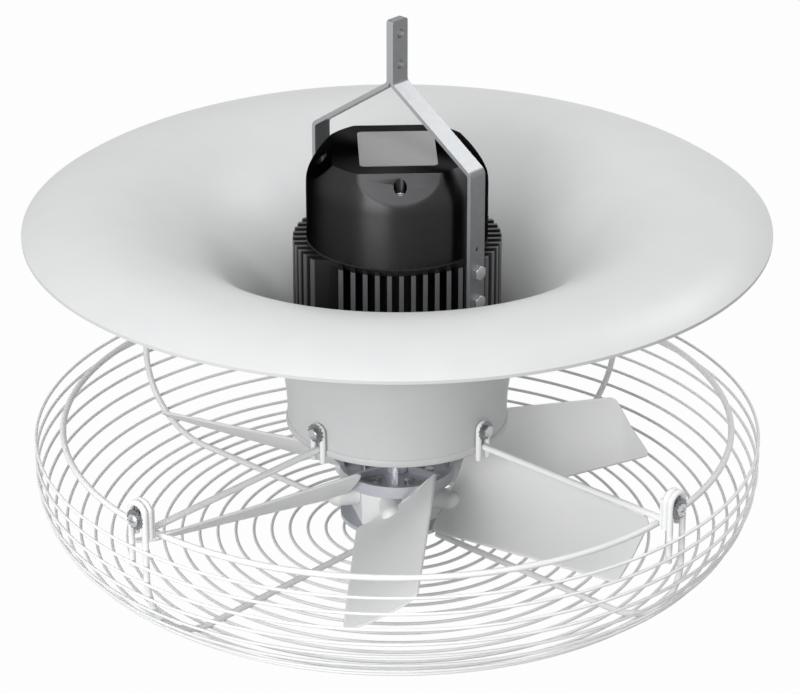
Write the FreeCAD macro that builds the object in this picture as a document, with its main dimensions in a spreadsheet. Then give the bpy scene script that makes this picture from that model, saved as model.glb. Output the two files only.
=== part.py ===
"""Hanging destratification fan: a finned motor in a trumpet hood over a caged propeller.

Millimetres, +Z up. The origin is midway between the two hanging holes of the bracket lug, and
the fan's axis is Z. The bracket legs, struts and guard ears stand on the X and Y axes; the fin
quadrants and the sloped faces of the motor cap stand between them.
"""

import FreeCAD
import Part
import math
import os
import re
import Sketcher

SIZES = (
    # bracket of two bent flat bars, back to back at the lug
    ("hole_pitch", 30, "between the two hanging holes"),
    ("hanging_hole", 8.5, "diameter of a hanging hole"),
    ("lug_above", 13.5, "lug above the upper hole"),
    ("lug_below", 16.7, "lug below the lower hole"),
    ("strap_width", 20, "flat bar width"),
    ("strap_thick", 4, "flat bar thickness"),
    ("strap_rise", 64, "height of the sloped run"),
    ("strap_bend", 4, "inside of a bend"),
    ("strap_corner", 3, "corners at the ends of a bar"),
    ("strap_tail", 14, "leg below its lower bolt"),
    ("strap_bolt_pitch", 29.5, "between the two bolts of a leg"),
    ("strap_bolt_drop", 8.5, "upper bolt below the top of the housing"),
    ("strap_bolt", 8, "thread diameter"),
    ("strap_bolt_hex", 13, "across the flats"),
    ("strap_hole_fit", 0.4, "strap hole wider than its bolt"),
    ("strap_bolt_room", 2, "tapped hole deeper than its bolt"),
    ("pilot_hole", 4, "small hole above the bolts of a leg"),
    ("pilot_rise", 23, "small hole above the upper bolt"),
    # motor housing and its fins
    ("cap_room", 3.3, "flat top of the cap below the bend of the straps"),
    ("housing_length", 150, "finned housing"),
    ("stator_bore", 132, "bore that holds the stator"),
    ("shield_step", 8.5, "step to the wider bore of the upper shield"),
    ("shield_bore_depth", 10, "depth of that wider bore"),
    ("housing_wall", 10, "wall between the fins"),
    ("cap_flange", 5, "flange under the gasket"),
    ("fin_height", 22, "fins beyond the wall"),
    ("fin_pitch", 11, "between fins"),
    ("fin_thick", 4.2, "one fin"),
    ("pad_inset", 2, "face that carries a strap leg, inside the fin tips"),
    ("strap_seat_room", 2, "seat of a leg wider than its bar"),
    ("pad_width", 25, "boss behind that face"),
    ("pad_tail", 22, "boss below the lower bolt"),
    ("pad_bolt_depth", 16, "depth of a tapped hole in the boss"),
    # motor cap
    ("gasket_thick", 1.5, "gasket under the cap"),
    ("cap_inset", 13, "round body of the cap inside the fin tips"),
    ("cap_height", 85, "from the gasket to the flat top"),
    ("cap_round", 13, "width of the rounded shoulder"),
    ("cap_shoulder", 33, "height of the rounded shoulder"),
    ("cap_wall", 3, "side wall"),
    ("cap_roof", 6, "roof, which leaves room for the sloped faces"),
    ("facet_inset", 24, "edge of a sloped face inside the round body"),
    ("facet_round", 8, "rounding round a sloped face"),
    ("cap_screw_inset", 4, "screws of the cap inside the upper shield"),
    ("cap_screw", 5, "thread diameter"),
    ("cap_screw_head", 10, "head diameter"),
    ("cap_screw_depth", 19.3, "seat of the head below the flat top"),
    ("counterbore_room", 1, "counterbore around the head of a cap screw"),
    ("cap_screw_grip", 5, "thread in the upper shield"),
    ("cap_post", 16, "post around a screw"),
    ("plate_long", 86, "rating plate, left bare"),
    ("plate_wide", 72, "rating plate"),
    ("plate_thick", 0.6, "rating plate"),
    ("gland_thread", 16, "cable gland in the cap"),
    ("gland_bore", 9, "cable passage"),
    ("gland_hex", 22, "across the corners"),
    ("gland_hex_length", 9, "hexagon"),
    ("gland_dome", 11, "clamping dome"),
    ("gland_rise", 24, "gland above the bottom of the cap"),
    ("gland_nut_thick", 5, "nut inside the cap"),
    ("gland_thread_end", 2, "thread of the gland beyond its nut"),
    ("gland_dome_step", 1, "dome of the gland inside its hexagon"),
    # inside the motor
    ("shaft_diameter", 24, "shaft"),
    ("shaft_top_drop", 8, "end of the shaft below the top of the housing"),
    ("bearing_outer", 52, "ball bearings"),
    ("bearing_width", 15, "ball bearings"),
    ("ring_wall", 4, "bearing rings"),
    ("bearing_seal", 1.2, "closing discs of a bearing"),
    ("running_gap", 0.3, "between what turns and what stands"),
    ("fit_gap", 0.05, "between pieces that locate each other"),
    ("washer_wave", 1.2, "preload washer"),
    ("washer_inset", 0.5, "preload washer inside the seat of the bearing"),
    ("upper_shield_drop", 2, "upper shield below the top of the housing"),
    ("shield_plate", 8, "plate of the upper shield"),
    ("boss_wall", 8, "bearing bosses of both shields"),
    ("stator_drop", 40, "stator core below the top of the housing"),
    ("stator_foot", 30, "stator core above the bottom of the housing"),
    ("rotor_diameter", 88, "rotor core"),
    ("air_gap", 0.6, "between rotor and stator"),
    ("winding_height", 16, "end turns over each end of the core"),
    ("winding_room", 5, "end turns inside the stator bore and outside the rotor"),
    ("cage_height", 8, "end rings of the rotor cage"),
    ("cage_inset", 2, "end rings inside the rotor core"),
    ("cage_wall", 12, "end rings"),
    ("capacitor_diameter", 34, "run capacitor lying in the cap"),
    ("capacitor_length", 66, "run capacitor"),
    ("capacitor_offset", 6, "run capacitor beside the middle"),
    ("stud_diameter", 8, "stud of the run capacitor"),
    ("stud_length", 6, "stud of the run capacitor"),
    ("terminal_long", 50, "terminal block"),
    ("terminal_wide", 22, "terminal block"),
    ("terminal_high", 18, "terminal block"),
    ("terminal_offset", 8, "terminal block beside the middle"),
    # lower shield, which carries the hood
    ("shield_spigot", 4, "centring spigot in the stator bore"),
    ("shield_flange", 6, "flange under the fins"),
    ("shield_height", 36.5, "flange and skirt"),
    ("skirt_wall", 8, "skirt in the duct"),
    ("shield_floor", 8, "plate under the flange"),
    ("seal_outer", 40, "shaft seal"),
    ("seal_height", 7, "shaft seal"),
    ("shield_screw", 6, "screws of the lower shield"),
    ("shield_screw_boss", 4, "wall around a screw in the housing"),
    ("shield_screw_grip", 12, "thread in the housing"),
    ("screw_end_room", 1, "ends of screws and bolts inside their holes"),
    # hood
    ("hood_bolt_drop", 16.5, "hood bolts below the housing"),
    ("hood_bolt", 6, "thread diameter"),
    ("hood_bolt_hex", 10, "across the flats"),
    ("hood_washer", 19, "toothed washer"),
    ("washer_thick", 1.6, "washers on hood and ears"),
    ("duct_room", 4, "narrow end of the hood around the fin tips"),
    ("hood_fit", 0.2, "between duct and skirt"),
    ("hood_wall", 3, "hood wall"),
    ("duct_skirt", 24.5, "duct below the bolts"),
    ("duct_straight", 6, "straight end of the duct"),
    ("bead_rise", 7, "rolled bead at the end of the duct"),
    ("bead_out", 1.5, "rolled bead"),
    ("hood_height", 205.5, "duct end to outer edge"),
    ("flare_width", 181, "duct to the highest circle of the hood"),
    ("lip_width", 67, "highest circle to the outer edge"),
    ("crest_rise", 22, "crest above the outer edge"),
    ("crest_curve", 120, "radius of the flare below the crest"),
    # struts between duct and guard
    ("strut_wire", 6.4, "strut rod"),
    ("strut_drop", 18, "strut below the hood bolts"),
    ("hoop_wire", 5.6, "hoop around a hood bolt"),
    ("hoop_tail", 30, "hoop legs below the bolt"),
    ("bolt_play", 0.2, "hoop wider than its bolt"),
    ("ear_rise", 16.7, "ear screw above the strut"),
    ("ear_screw", 6, "thread diameter"),
    ("ear_screw_head", 12, "pan head"),
    ("ear_screw_out", 4, "ear screw beyond its tab"),
    ("ear_washer", 20, "washer"),
    ("ear_span", 18, "between the legs of an ear"),
    ("ear_arch", 6, "arch of an ear above its screw"),
    ("tab_width", 20, "threaded tab on a strut"),
    ("tab_thick", 3, "threaded tab"),
    ("tab_above", 9, "tab above the screw"),
    # wire guard
    ("rim_inset", 9.75, "thick top ring inside the tabs"),
    ("rim_wire", 6, "thick top ring"),
    ("rib_wire", 6, "ribs"),
    ("guard_room", 78, "upright part of a rib outside the blade tips"),
    ("floor_room", 24.3, "ribs below the blades"),
    ("rib_start", 44, "inner end of a rib from the axis"),
    ("rib_short_leg", 52, "short leg of an ear below its screw"),
    ("ring_wire", 3, "thin rings"),
    ("basket_corner", 80, "bend of a rib"),
    ("first_ring_drop", 6, "first thin ring below the rim"),
    ("side_pitch", 16, "between side rings along a rib"),
    ("floor_pitch", 17.5, "between floor rings"),
    ("floor_ring_inner", 52, "radius of the innermost ring"),
    ("weld_gap", 0.05, "between wires that cross"),
    # propeller
    ("prop_drop", 71, "hub plate below the hood bolts"),
    ("plate_overhang", 15, "aluminium hub plate beyond the flats of the hub"),
    ("plate_height", 12, "hub plate"),
    ("plate_wall", 4.5, "rim of the hub plate"),
    ("plate_floor", 4, "floor of the hub plate"),
    ("plate_rib", 2.5, "ribs of the hub plate"),
    ("plate_rib_gap", 1, "ribs of the hub plate beside the shaft"),
    ("plate_rib_drop", 1.5, "ribs below the rim of the hub plate"),
    ("socket_web", 3.4, "hub beside a blade socket"),
    ("hub_height", 39, "hub body"),
    ("hub_recess", 10, "recess for the bolt in the bottom of the hub"),
    ("recess_room", 1.5, "recess around the washer"),
    ("lower_plate_thick", 4.5, "lower hub plate"),
    ("lower_plate_inset", 1, "lower hub plate inside the upper one"),
    ("stub_diameter", 19, "round root of a blade in the hub"),
    ("stub_depth", 15, "root in its socket"),
    ("root_diameter", 24, "cone of a root beside the hub"),
    ("root_end", 19, "rounded end of that cone"),
    ("root_room", 0.5, "cone below the upper hub plate"),
    ("stub_grip", 13, "root along the blade"),
    ("stub_shift", 5, "root behind the blade's own axis"),
    ("socket_fit", 0.1, "around a root"),
    ("propeller_diameter", 526, "over the tips"),
    ("blade_gap", 3, "inner edge of a blade beside the hub plate"),
    ("blade_root_chord", 95, "blade width at the root"),
    ("blade_tip_chord", 74, "blade width at the tip"),
    ("blade_root_pitch", 39, "degrees"),
    ("blade_tip_pitch", 28.5, "degrees"),
    ("blade_root_camber", 7, "hollow of the blade at the root"),
    ("blade_tip_camber", 3.7, "hollow of the blade at the tip"),
    ("blade_root_rise", 12.9, "chord of a blade above the axis of its root"),
    ("blade_tip_drop", 8.5, "blade at the tip below the bottom of the hub plate"),
    ("blade_tip_sweep", 12, "tip behind the blade's own axis"),
    ("blade_thick", 2.6, "blade"),
    ("blade_corner", 7, "rounded corners of a blade"),
    ("hub_screw", 5, "screws between hub plate and hub"),
    ("hub_screw_inset", 10, "screws inside the edge of the hub"),
    ("hub_bolt", 10, "bolt in the shaft end"),
    ("hub_bolt_depth", 22, "thread in the shaft"),
    ("hub_washer", 38, "washer under that bolt"),
    ("hub_washer_thick", 3, "washer under that bolt"),
    ("shaft_short", 3, "shaft end above the recess of the hub"),
    ("key_width", 6, "key between shaft and hub"),
    ("key_length", 20, "key between shaft and hub"),
    ("key_height", 6, "key between shaft and hub"),
)

STRUT_ANGLES = (0, 90, 180, 270)
QUADRANT_ANGLES = (45, 135, 225, 315)
FINS_PER_SIDE = 5
BLADES = 6
BLADE_START_ANGLE = -48
CORNER_STEPS = (0, 30, 60, 90)  # degrees round a blade's corner, where its outline has a section
HUB_TURN = 15  # degrees from a blade back to a flat of the hub
GLAND_ANGLE = 110
HEAD_HEIGHT = 0.65  # bolt and screw heads, as a share of the thread diameter
HEAD_WIDTH = 0.85  # radius of a round screw head, as a share of the thread diameter
HEX_WIDTH = 1.7  # hub bolt across its flats, as a share of the thread diameter
EAR_WELD = 0.45  # middle of an ear hoop outside its tab, as a share of the wire
OVER = 1  # how far a cutting tool reaches past what it cuts
RIM_SIDES = 48  # straight lengths in the widest rings
LENGTH_OF_SIDE = 45.0  # straight lengths in the smaller rings, about
WIRE_SIDES = 8  # faces around a thick wire
RING_SIDES = 4  # faces around a thin ring

doc = FreeCAD.newDocument("destratification_fan")
sheet = doc.addObject("Spreadsheet::Sheet", "Sizes")
for row, (alias, value, note) in enumerate(SIZES, start=1):
    sheet.set(f"A{row}", alias)
    sheet.set(f"B{row}", str(value))
    sheet.setAlias(f"B{row}", alias)
    sheet.set(f"C{row}", note)
doc.recompute()
ALIASES = {alias for alias, value, note in SIZES}


def cells(text):
    """Turn a formula of size names into one that reads the sheet."""
    return re.sub(r"[a-z_]\w*", lambda word: f"Sizes.{word[0]}" if word[0] in ALIASES else word[0], text)


def val(text):
    """Value of a formula of size names."""
    return float(sheet.evalExpression(cells(text)))


def bind(item, path, text):
    """Tie one property of an object to a formula of size names."""
    item.setExpression(path, cells(text))


# Levels and radii that several pieces share, as formulas of the sizes.
LUG_BOTTOM = "(-hole_pitch / 2 - lug_below)"
BEND = f"({LUG_BOTTOM} - strap_rise)"
CAP_TOP = f"({BEND} - cap_room)"
CAP_BOTTOM = f"({CAP_TOP} - cap_height)"
MOTOR_TOP = f"({CAP_BOTTOM} - gasket_thick)"
HOUSING_OUT = "(stator_bore / 2 + housing_wall)"
SHIELD_SEAT = "(stator_bore / 2 + shield_step)"
FIN_TIP = f"({HOUSING_OUT} + fin_height)"
FIN_ROOT = f"({HOUSING_OUT} / 2 + {SHIELD_SEAT} / 2)"
PAD_FACE = f"({FIN_TIP} - pad_inset)"
CAP_OUT = f"({FIN_TIP} - cap_inset)"
FACET = f"({CAP_OUT} - facet_inset)"
CAP_SCREW_RING = f"({SHIELD_SEAT} - cap_screw_inset)"
SHIELD_SCREW_RING = f"({HOUSING_OUT} + shield_screw / 2 + shield_screw_boss)"
BOSS_OUT = "(bearing_outer / 2 + boss_wall)"
STRAP_BOLT_HIGH = f"({MOTOR_TOP} - strap_bolt_drop)"
STRAP_BOLT_LOW = f"({STRAP_BOLT_HIGH} - strap_bolt_pitch)"
LEG_END = f"({STRAP_BOLT_LOW} - strap_tail)"
STRAP_OUT = f"({PAD_FACE} + strap_thick)"
CAP_SEAT = f"({CAP_TOP} - cap_screw_depth)"
HOUSING_BOTTOM = f"({MOTOR_TOP} - housing_length)"
UPPER_SHIELD_TOP = f"({MOTOR_TOP} - upper_shield_drop)"
UPPER_SHIELD_BASE = f"({MOTOR_TOP} - shield_bore_depth)"
UPPER_SEAT = f"({UPPER_SHIELD_TOP} - shield_plate)"
UPPER_BEARING_TOP = f"({UPPER_SEAT} - washer_wave)"
UPPER_BEARING_BASE = f"({UPPER_BEARING_TOP} - bearing_width)"
LOWER_BEARING_TOP = f"({HOUSING_BOTTOM} + shield_spigot)"
LOWER_BEARING_BASE = f"({LOWER_BEARING_TOP} - bearing_width)"
SHIELD_FLOOR = f"({LOWER_BEARING_BASE} - shield_floor)"
SEAL_BASE = f"({SHIELD_FLOOR} - seal_height)"
SHIELD_BOTTOM = f"({HOUSING_BOTTOM} - shield_height)"
CORE_TOP = f"({MOTOR_TOP} - stator_drop)"
CORE_BASE = f"({HOUSING_BOTTOM} + stator_foot)"
HOOD_BOLT = f"({HOUSING_BOTTOM} - hood_bolt_drop)"
DUCT_BOTTOM = f"({HOOD_BOLT} - duct_skirt)"
FLARE_START = f"({DUCT_BOTTOM} + bead_rise + duct_straight)"
HOOD_EDGE = f"({DUCT_BOTTOM} + hood_height)"
CREST = f"({HOOD_EDGE} + crest_rise)"
DUCT_IN = f"({FIN_TIP} + duct_room)"
DUCT_OUT = f"({DUCT_IN} + hood_wall)"
SKIRT_OUT = f"({DUCT_IN} - hood_fit)"
CREST_OUT = f"({DUCT_IN} + flare_width)"
HOOD_OUT = f"({CREST_OUT} + lip_width)"
HOOP_RADIUS = f"({DUCT_OUT} + bead_out + fit_gap + hoop_wire / 2)"
HOOP_FACE = f"({HOOP_RADIUS} + hoop_wire / 2)"
HOOP_HALF = "((hood_bolt + bolt_play + hoop_wire) / 2)"
STRUT = f"({HOOD_BOLT} - strut_drop)"
RIM = f"({STRUT} - (strut_wire + rim_wire) / 2 - weld_gap)"
EAR_SCREW = f"({STRUT} + ear_rise)"
EAR_ARCH = f"({EAR_SCREW} + ear_arch)"
RIB_SIDE = "(propeller_diameter / 2 + guard_room)"
EAR_HOOP_RADIUS = f"({RIB_SIDE} - rib_wire - weld_gap)"
TAB_OUT = f"({EAR_HOOP_RADIUS} - {EAR_WELD} * rib_wire)"
RIM_RADIUS = f"({TAB_OUT} - tab_thick - rim_inset)"
EAR_FACE = f"({RIB_SIDE} + rib_wire / 2)"
PLATE_TOP = f"({HOOD_BOLT} - prop_drop)"
HUB_TOP = f"({PLATE_TOP} - plate_height)"
HUB_BOTTOM = f"({HUB_TOP} - hub_height)"
SOCKET = f"({HUB_TOP} - root_diameter / 2 - root_room)"
STUB_START = "((stub_diameter / 2 + socket_fit + socket_web) * 2)"
HUB_OUT = f"({STUB_START} + stub_depth)"
HUB_SCREW_RING = f"({HUB_OUT} - hub_screw_inset)"
PLATE_OUT = f"({HUB_OUT} + plate_overhang)"
BLADE_ROOT = f"({PLATE_OUT} + blade_gap)"
STUB_END = f"({BLADE_ROOT} + stub_grip)"
ROOT_FLAT = f"({HUB_OUT} + (root_diameter / 2 - stub_shift) * sin({HUB_TURN}))"
ROOT_BASE = f"({ROOT_FLAT} / cos({HUB_TURN}) + running_gap)"
HUB_SEAT = f"({HUB_BOTTOM} + hub_recess)"
RECESS = "(hub_washer / 2 + recess_room)"
LOWER_PLATE = f"({HUB_BOTTOM} - lower_plate_thick)"
BLADE_DIP = "(blade_tip_chord / 2 * sin(blade_tip_pitch) + blade_thick / 2)"
BLADE_LOW = f"({HUB_TOP} - blade_tip_drop - {BLADE_DIP})"
RIB_FLOOR = f"({BLADE_LOW} - floor_room - rib_wire / 2)"
RING_OFFSET = "((rib_wire + ring_wire) / 2 + weld_gap)"
FLOOR_RINGS = f"({RIB_FLOOR} - {RING_OFFSET})"
CORNER_RADIUS = f"({RIB_SIDE} - basket_corner)"
CORNER_LEVEL = f"({RIB_FLOOR} + basket_corner)"
SHAFT_END = f"({HUB_SEAT} + shaft_short)"
SHAFT_RADIUS = "(shaft_diameter / 2)"
SHAFT_HOLE = "(shaft_diameter / 2 + fit_gap)"
RING_IN = "(shaft_diameter / 2 + fit_gap + ring_wall)"
RING_OUT = "(bearing_outer / 2 - ring_wall)"


def origin_plane(body, role):
    """One of a body's own origin planes."""
    return next(item for item in body.Origin.OriginFeatures if item.Role == role)


def new_body(label):
    """Empty body that is exported under its label."""
    body = doc.addObject("PartDesign::Body", label)
    body.Label = label
    return body


def arc_between(start, end, radius, turn):
    """Arc of a radius from start to end, counter-clockwise where turn is 1 and clockwise where it is -1."""
    chord = end - start
    half = chord.Length / 2
    across = FreeCAD.Vector(-chord.y, chord.x, 0).normalize()
    centre = (start + end) / 2 + across * turn * math.sqrt(max(radius**2 - half**2, 0))
    first, last = (start, end) if turn == 1 else (end, start)
    angles = [math.atan2(p.y - centre.y, p.x - centre.x) for p in (first, last)]
    if angles[1] <= angles[0]:
        angles[1] += 2 * math.pi
    return Part.ArcOfCircle(Part.Circle(centre, FreeCAD.Vector(0, 0, 1), radius), *angles)


def add_loop(sketch, corners):
    """Closed outline whose corners are pairs of formulas.

    A corner with a third and a fourth entry starts an arc: its radius as a formula, and its turn.
    """
    first = sketch.GeometryCount
    count = len(corners)
    places = [FreeCAD.Vector(val(c[0]), val(c[1]), 0) for c in corners]
    ends = []
    for i, corner in enumerate(corners):
        start, end = places[i], places[(i + 1) % count]
        if len(corner) == 2:
            sketch.addGeometry(Part.LineSegment(start, end))
            ends.append((1, 2))
        else:
            sketch.addGeometry(arc_between(start, end, val(corner[2]), corner[3]))
            ends.append((1, 2) if corner[3] == 1 else (2, 1))
    for i, corner in enumerate(corners):
        follower = (i + 1) % count
        line = first + i
        sketch.addConstraint(
            Sketcher.Constraint("Coincident", line, ends[i][1], first + follower, ends[follower][0])
        )
        for kind, axis, text in (("DistanceX", -2, corner[0]), ("DistanceY", -1, corner[1])):
            if text == "0":
                sketch.addConstraint(Sketcher.Constraint("PointOnObject", line, ends[i][0], axis))
                continue
            rule = sketch.addConstraint(Sketcher.Constraint(kind, -1, 1, line, ends[i][0], val(text)))
            bind(sketch, f"Constraints[{rule}]", text)
        if len(corner) == 4:
            rule = sketch.addConstraint(Sketcher.Constraint("Radius", line, val(corner[2])))
            bind(sketch, f"Constraints[{rule}]", corner[2])


def add_circle(sketch, x, y, radius):
    """Circle whose centre and radius are formulas."""
    centre = FreeCAD.Vector(val(x), val(y), 0)
    line = sketch.addGeometry(Part.Circle(centre, FreeCAD.Vector(0, 0, 1), val(radius)))
    for kind, axis, text in (("DistanceX", -2, x), ("DistanceY", -1, y)):
        if text == "0":
            sketch.addConstraint(Sketcher.Constraint("PointOnObject", line, 3, axis))
            continue
        rule = sketch.addConstraint(Sketcher.Constraint(kind, -1, 1, line, 3, val(text)))
        bind(sketch, f"Constraints[{rule}]", text)
    rule = sketch.addConstraint(Sketcher.Constraint("Radius", line, val(radius)))
    bind(sketch, f"Constraints[{rule}]", radius)


def new_sketch(body, name, role, offset="0", rise="0", turn=None):
    """Sketch on an origin plane, moved along its normal and up in it by formulas, or turned."""
    sketch = body.newObject("Sketcher::SketchObject", name)
    sketch.AttachmentSupport = [(origin_plane(body, role), "")]
    sketch.MapMode = "FlatFace"
    base = FreeCAD.Vector(0, val(rise), val(offset))
    sketch.AttachmentOffset = FreeCAD.Placement(base, turn or FreeCAD.Rotation())
    bind(sketch, "AttachmentOffset.Base.y", rise)
    bind(sketch, "AttachmentOffset.Base.z", offset)
    return sketch


def revolve(body, name, corners, kind="PartDesign::Revolution"):
    """Turn an outline of radius and level pairs about Z; a Groove removes it."""
    sketch = new_sketch(body, f"{name}_profile", "XZ_Plane")
    add_loop(sketch, corners)
    return spin(body, name, sketch, "V_Axis", kind)


def spin(body, name, sketch, axis, kind="PartDesign::Revolution"):
    """Turn a sketch about one of its own axes."""
    feature = body.newObject(kind, name)
    feature.Profile = sketch
    feature.ReferenceAxis = (sketch, [axis])
    feature.Angle = 360
    return feature


def round_edges(body, name, feature, wanted, radius):
    """Round the edges of a feature that a test picks by their two ends and their middle."""
    doc.recompute()
    edges = []
    for number, edge in enumerate(feature.Shape.Edges, start=1):
        ends = [vertex.Point for vertex in edge.Vertexes]
        middle = edge.valueAt((edge.FirstParameter + edge.LastParameter) / 2)
        if len(ends) == 2 and wanted(*ends, middle):
            edges.append(f"Edge{number}")
    fillet = body.newObject("PartDesign::Fillet", name)
    fillet.Base = (feature, edges)
    fillet.Radius = val(radius)
    bind(fillet, "Radius", radius)
    return fillet


def heading(angle):
    """Cosine and sine of an angle about the axis, in degrees."""
    return math.cos(math.radians(angle)), math.sin(math.radians(angle))


def near(point, x, z):
    """Whether a point lies at a place seen along Y."""
    return math.hypot(point.x - x, point.z - z) < 0.001


def turned(label, corners):
    """Body that is one outline turned about Z."""
    body = new_body(label)
    revolve(body, f"{label}_turn", corners)
    return body


def extrude(body, name, sketch, length, kind="PartDesign::Pad", reverse=False, both=False):
    """Pad or pocket of a sketch over a length, to one side or half to each."""
    feature = body.newObject(kind, name)
    feature.Profile = sketch
    feature.Type = "Length"
    feature.Length = val(length)
    bind(feature, "Length", length)
    feature.Reversed = reverse
    feature.SideType = "Symmetric" if both else "One side"
    return feature


def polar(body, name, feature, count):
    """Repeat a feature evenly about Z."""
    pattern = body.newObject("PartDesign::PolarPattern", name)
    pattern.Originals = [feature]
    pattern.Axis = (origin_axis(body), [""])
    pattern.Angle = 360
    pattern.Occurrences = count
    body.Tip = pattern
    return pattern


def origin_axis(body):
    """The body's own Z axis."""
    return next(item for item in body.Origin.OriginFeatures if item.Role == "Z_Axis")


def cylinder(name, radius, length, x="0", y="0", z="0", axis=(0, 0, 1)):
    """Round bar that starts at x, y, z and runs along an axis."""
    item = doc.addObject("Part::Cylinder", name)
    bind(item, "Radius", radius)
    bind(item, "Height", length)
    place(item, x, y, z, FreeCAD.Rotation(FreeCAD.Vector(0, 0, 1), FreeCAD.Vector(*axis)))
    return item


def hexagon(name, flats, length, x="0", y="0", z="0", axis=(0, 0, 1), turn=0):
    """Hexagonal bar of a width across the flats, turned about its own axis."""
    item = doc.addObject("Part::Prism", name)
    item.Polygon = 6
    bind(item, "Circumradius", f"({flats}) / 2 / cos(30)")
    bind(item, "Height", length)
    upright = FreeCAD.Vector(0, 0, 1)
    place(item, x, y, z, FreeCAD.Rotation(upright, FreeCAD.Vector(*axis)) * FreeCAD.Rotation(upright, turn))
    return item


def box(name, length, width, height, x, y, z):
    """Block that starts at its lowest corner."""
    item = doc.addObject("Part::Box", name)
    bind(item, "Length", length)
    bind(item, "Width", width)
    bind(item, "Height", height)
    place(item, x, y, z, FreeCAD.Rotation())
    return item


def place(item, x, y, z, rotation):
    """Put an object at formulas of the sizes."""
    item.Placement = FreeCAD.Placement(FreeCAD.Vector(val(x), val(y), val(z)), rotation)
    for axis, text in zip("xyz", (x, y, z)):
        bind(item, f"Placement.Base.{axis}", text)


def fused(label, items):
    """One solid of several that meet."""
    item = doc.addObject("Part::MultiFuse", label)
    item.Label = label
    item.Shapes = items
    item.Refine = True
    return item


def cut(label, base, tools):
    """A piece less its tools."""
    item = doc.addObject("Part::Cut", label)
    item.Label = label
    item.Base = base
    if len(tools) == 1:
        item.Tool = tools[0]
    else:
        group = doc.addObject("Part::Compound", f"{label}_tools")
        group.Links = tools
        item.Tool = group
    return item


def feature(label, shape):
    """Piece whose shape is worked out in code."""
    item = doc.addObject("Part::Feature", label)
    item.Label = label
    item.Shape = shape
    return item


def radial(name, radius, start, length, level, angle):
    """Round bar that runs outwards along a radius."""
    c, s = heading(angle)
    return cylinder(name, radius, length, f"({start}) * {c}", f"({start}) * {s}", level, (c, s, 0))


def wire_profile(radius, sides, centre, along):
    """Closed outline of a wire's section, square to its direction."""
    side = FreeCAD.Vector(0, 0, 1) if abs(along.z) < 0.9 else FreeCAD.Vector(1, 0, 0)
    first = along.cross(side).normalize()
    second = along.cross(first).normalize()
    corners = []
    for i in range(sides + 1):
        a = 2 * math.pi * (i % sides + 0.5) / sides
        reach = radius / math.cos(math.pi / sides)
        corners.append(centre + first * reach * math.cos(a) + second * reach * math.sin(a))
    return Part.makePolygon(corners)


def bent_wire(path, wire, sides=WIRE_SIDES):
    """Wire of a diameter along edges that run on smoothly."""
    spine = Part.Wire(path)
    start = path[0].valueAt(path[0].FirstParameter)
    along = path[0].tangentAt(path[0].FirstParameter)
    section = wire_profile(wire / 2, sides, start, along)
    return spine.makePipeShell([section], True, False)


def wire_ring(radius, level, wire, sides, count, tilt=0.0):
    """Wire ring of straight lengths whose middles lie on the circle, one of them on each of X and Y."""
    corners = []
    for i in range(count):
        a = 2 * math.pi * (i + 0.5) / count
        ring = []
        for k in range(sides):
            b = tilt + 2 * math.pi * k / sides
            r = (radius + wire / 2 * math.cos(b)) / math.cos(math.pi / count)
            ring.append(FreeCAD.Vector(r * math.cos(a), r * math.sin(a), level + wire / 2 * math.sin(b)))
        corners.append(ring)
    faces = []
    for i in range(count):
        for k in range(sides):
            here, there = corners[i], corners[(i + 1) % count]
            m = (k + 1) % sides
            faces.append(Part.Face(Part.makePolygon([here[k], there[k], there[m], here[m], here[k]])))
    return Part.makeSolid(Part.makeShell(faces))


def sides_for(radius):
    """Straight lengths in a ring of a radius: a multiple of four, so that each axis meets a middle."""
    wanted = 2 * math.pi * radius / LENGTH_OF_SIDE
    return max(16, min(RIM_SIDES, 4 * math.ceil(wanted / 4)))


pieces = []


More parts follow.
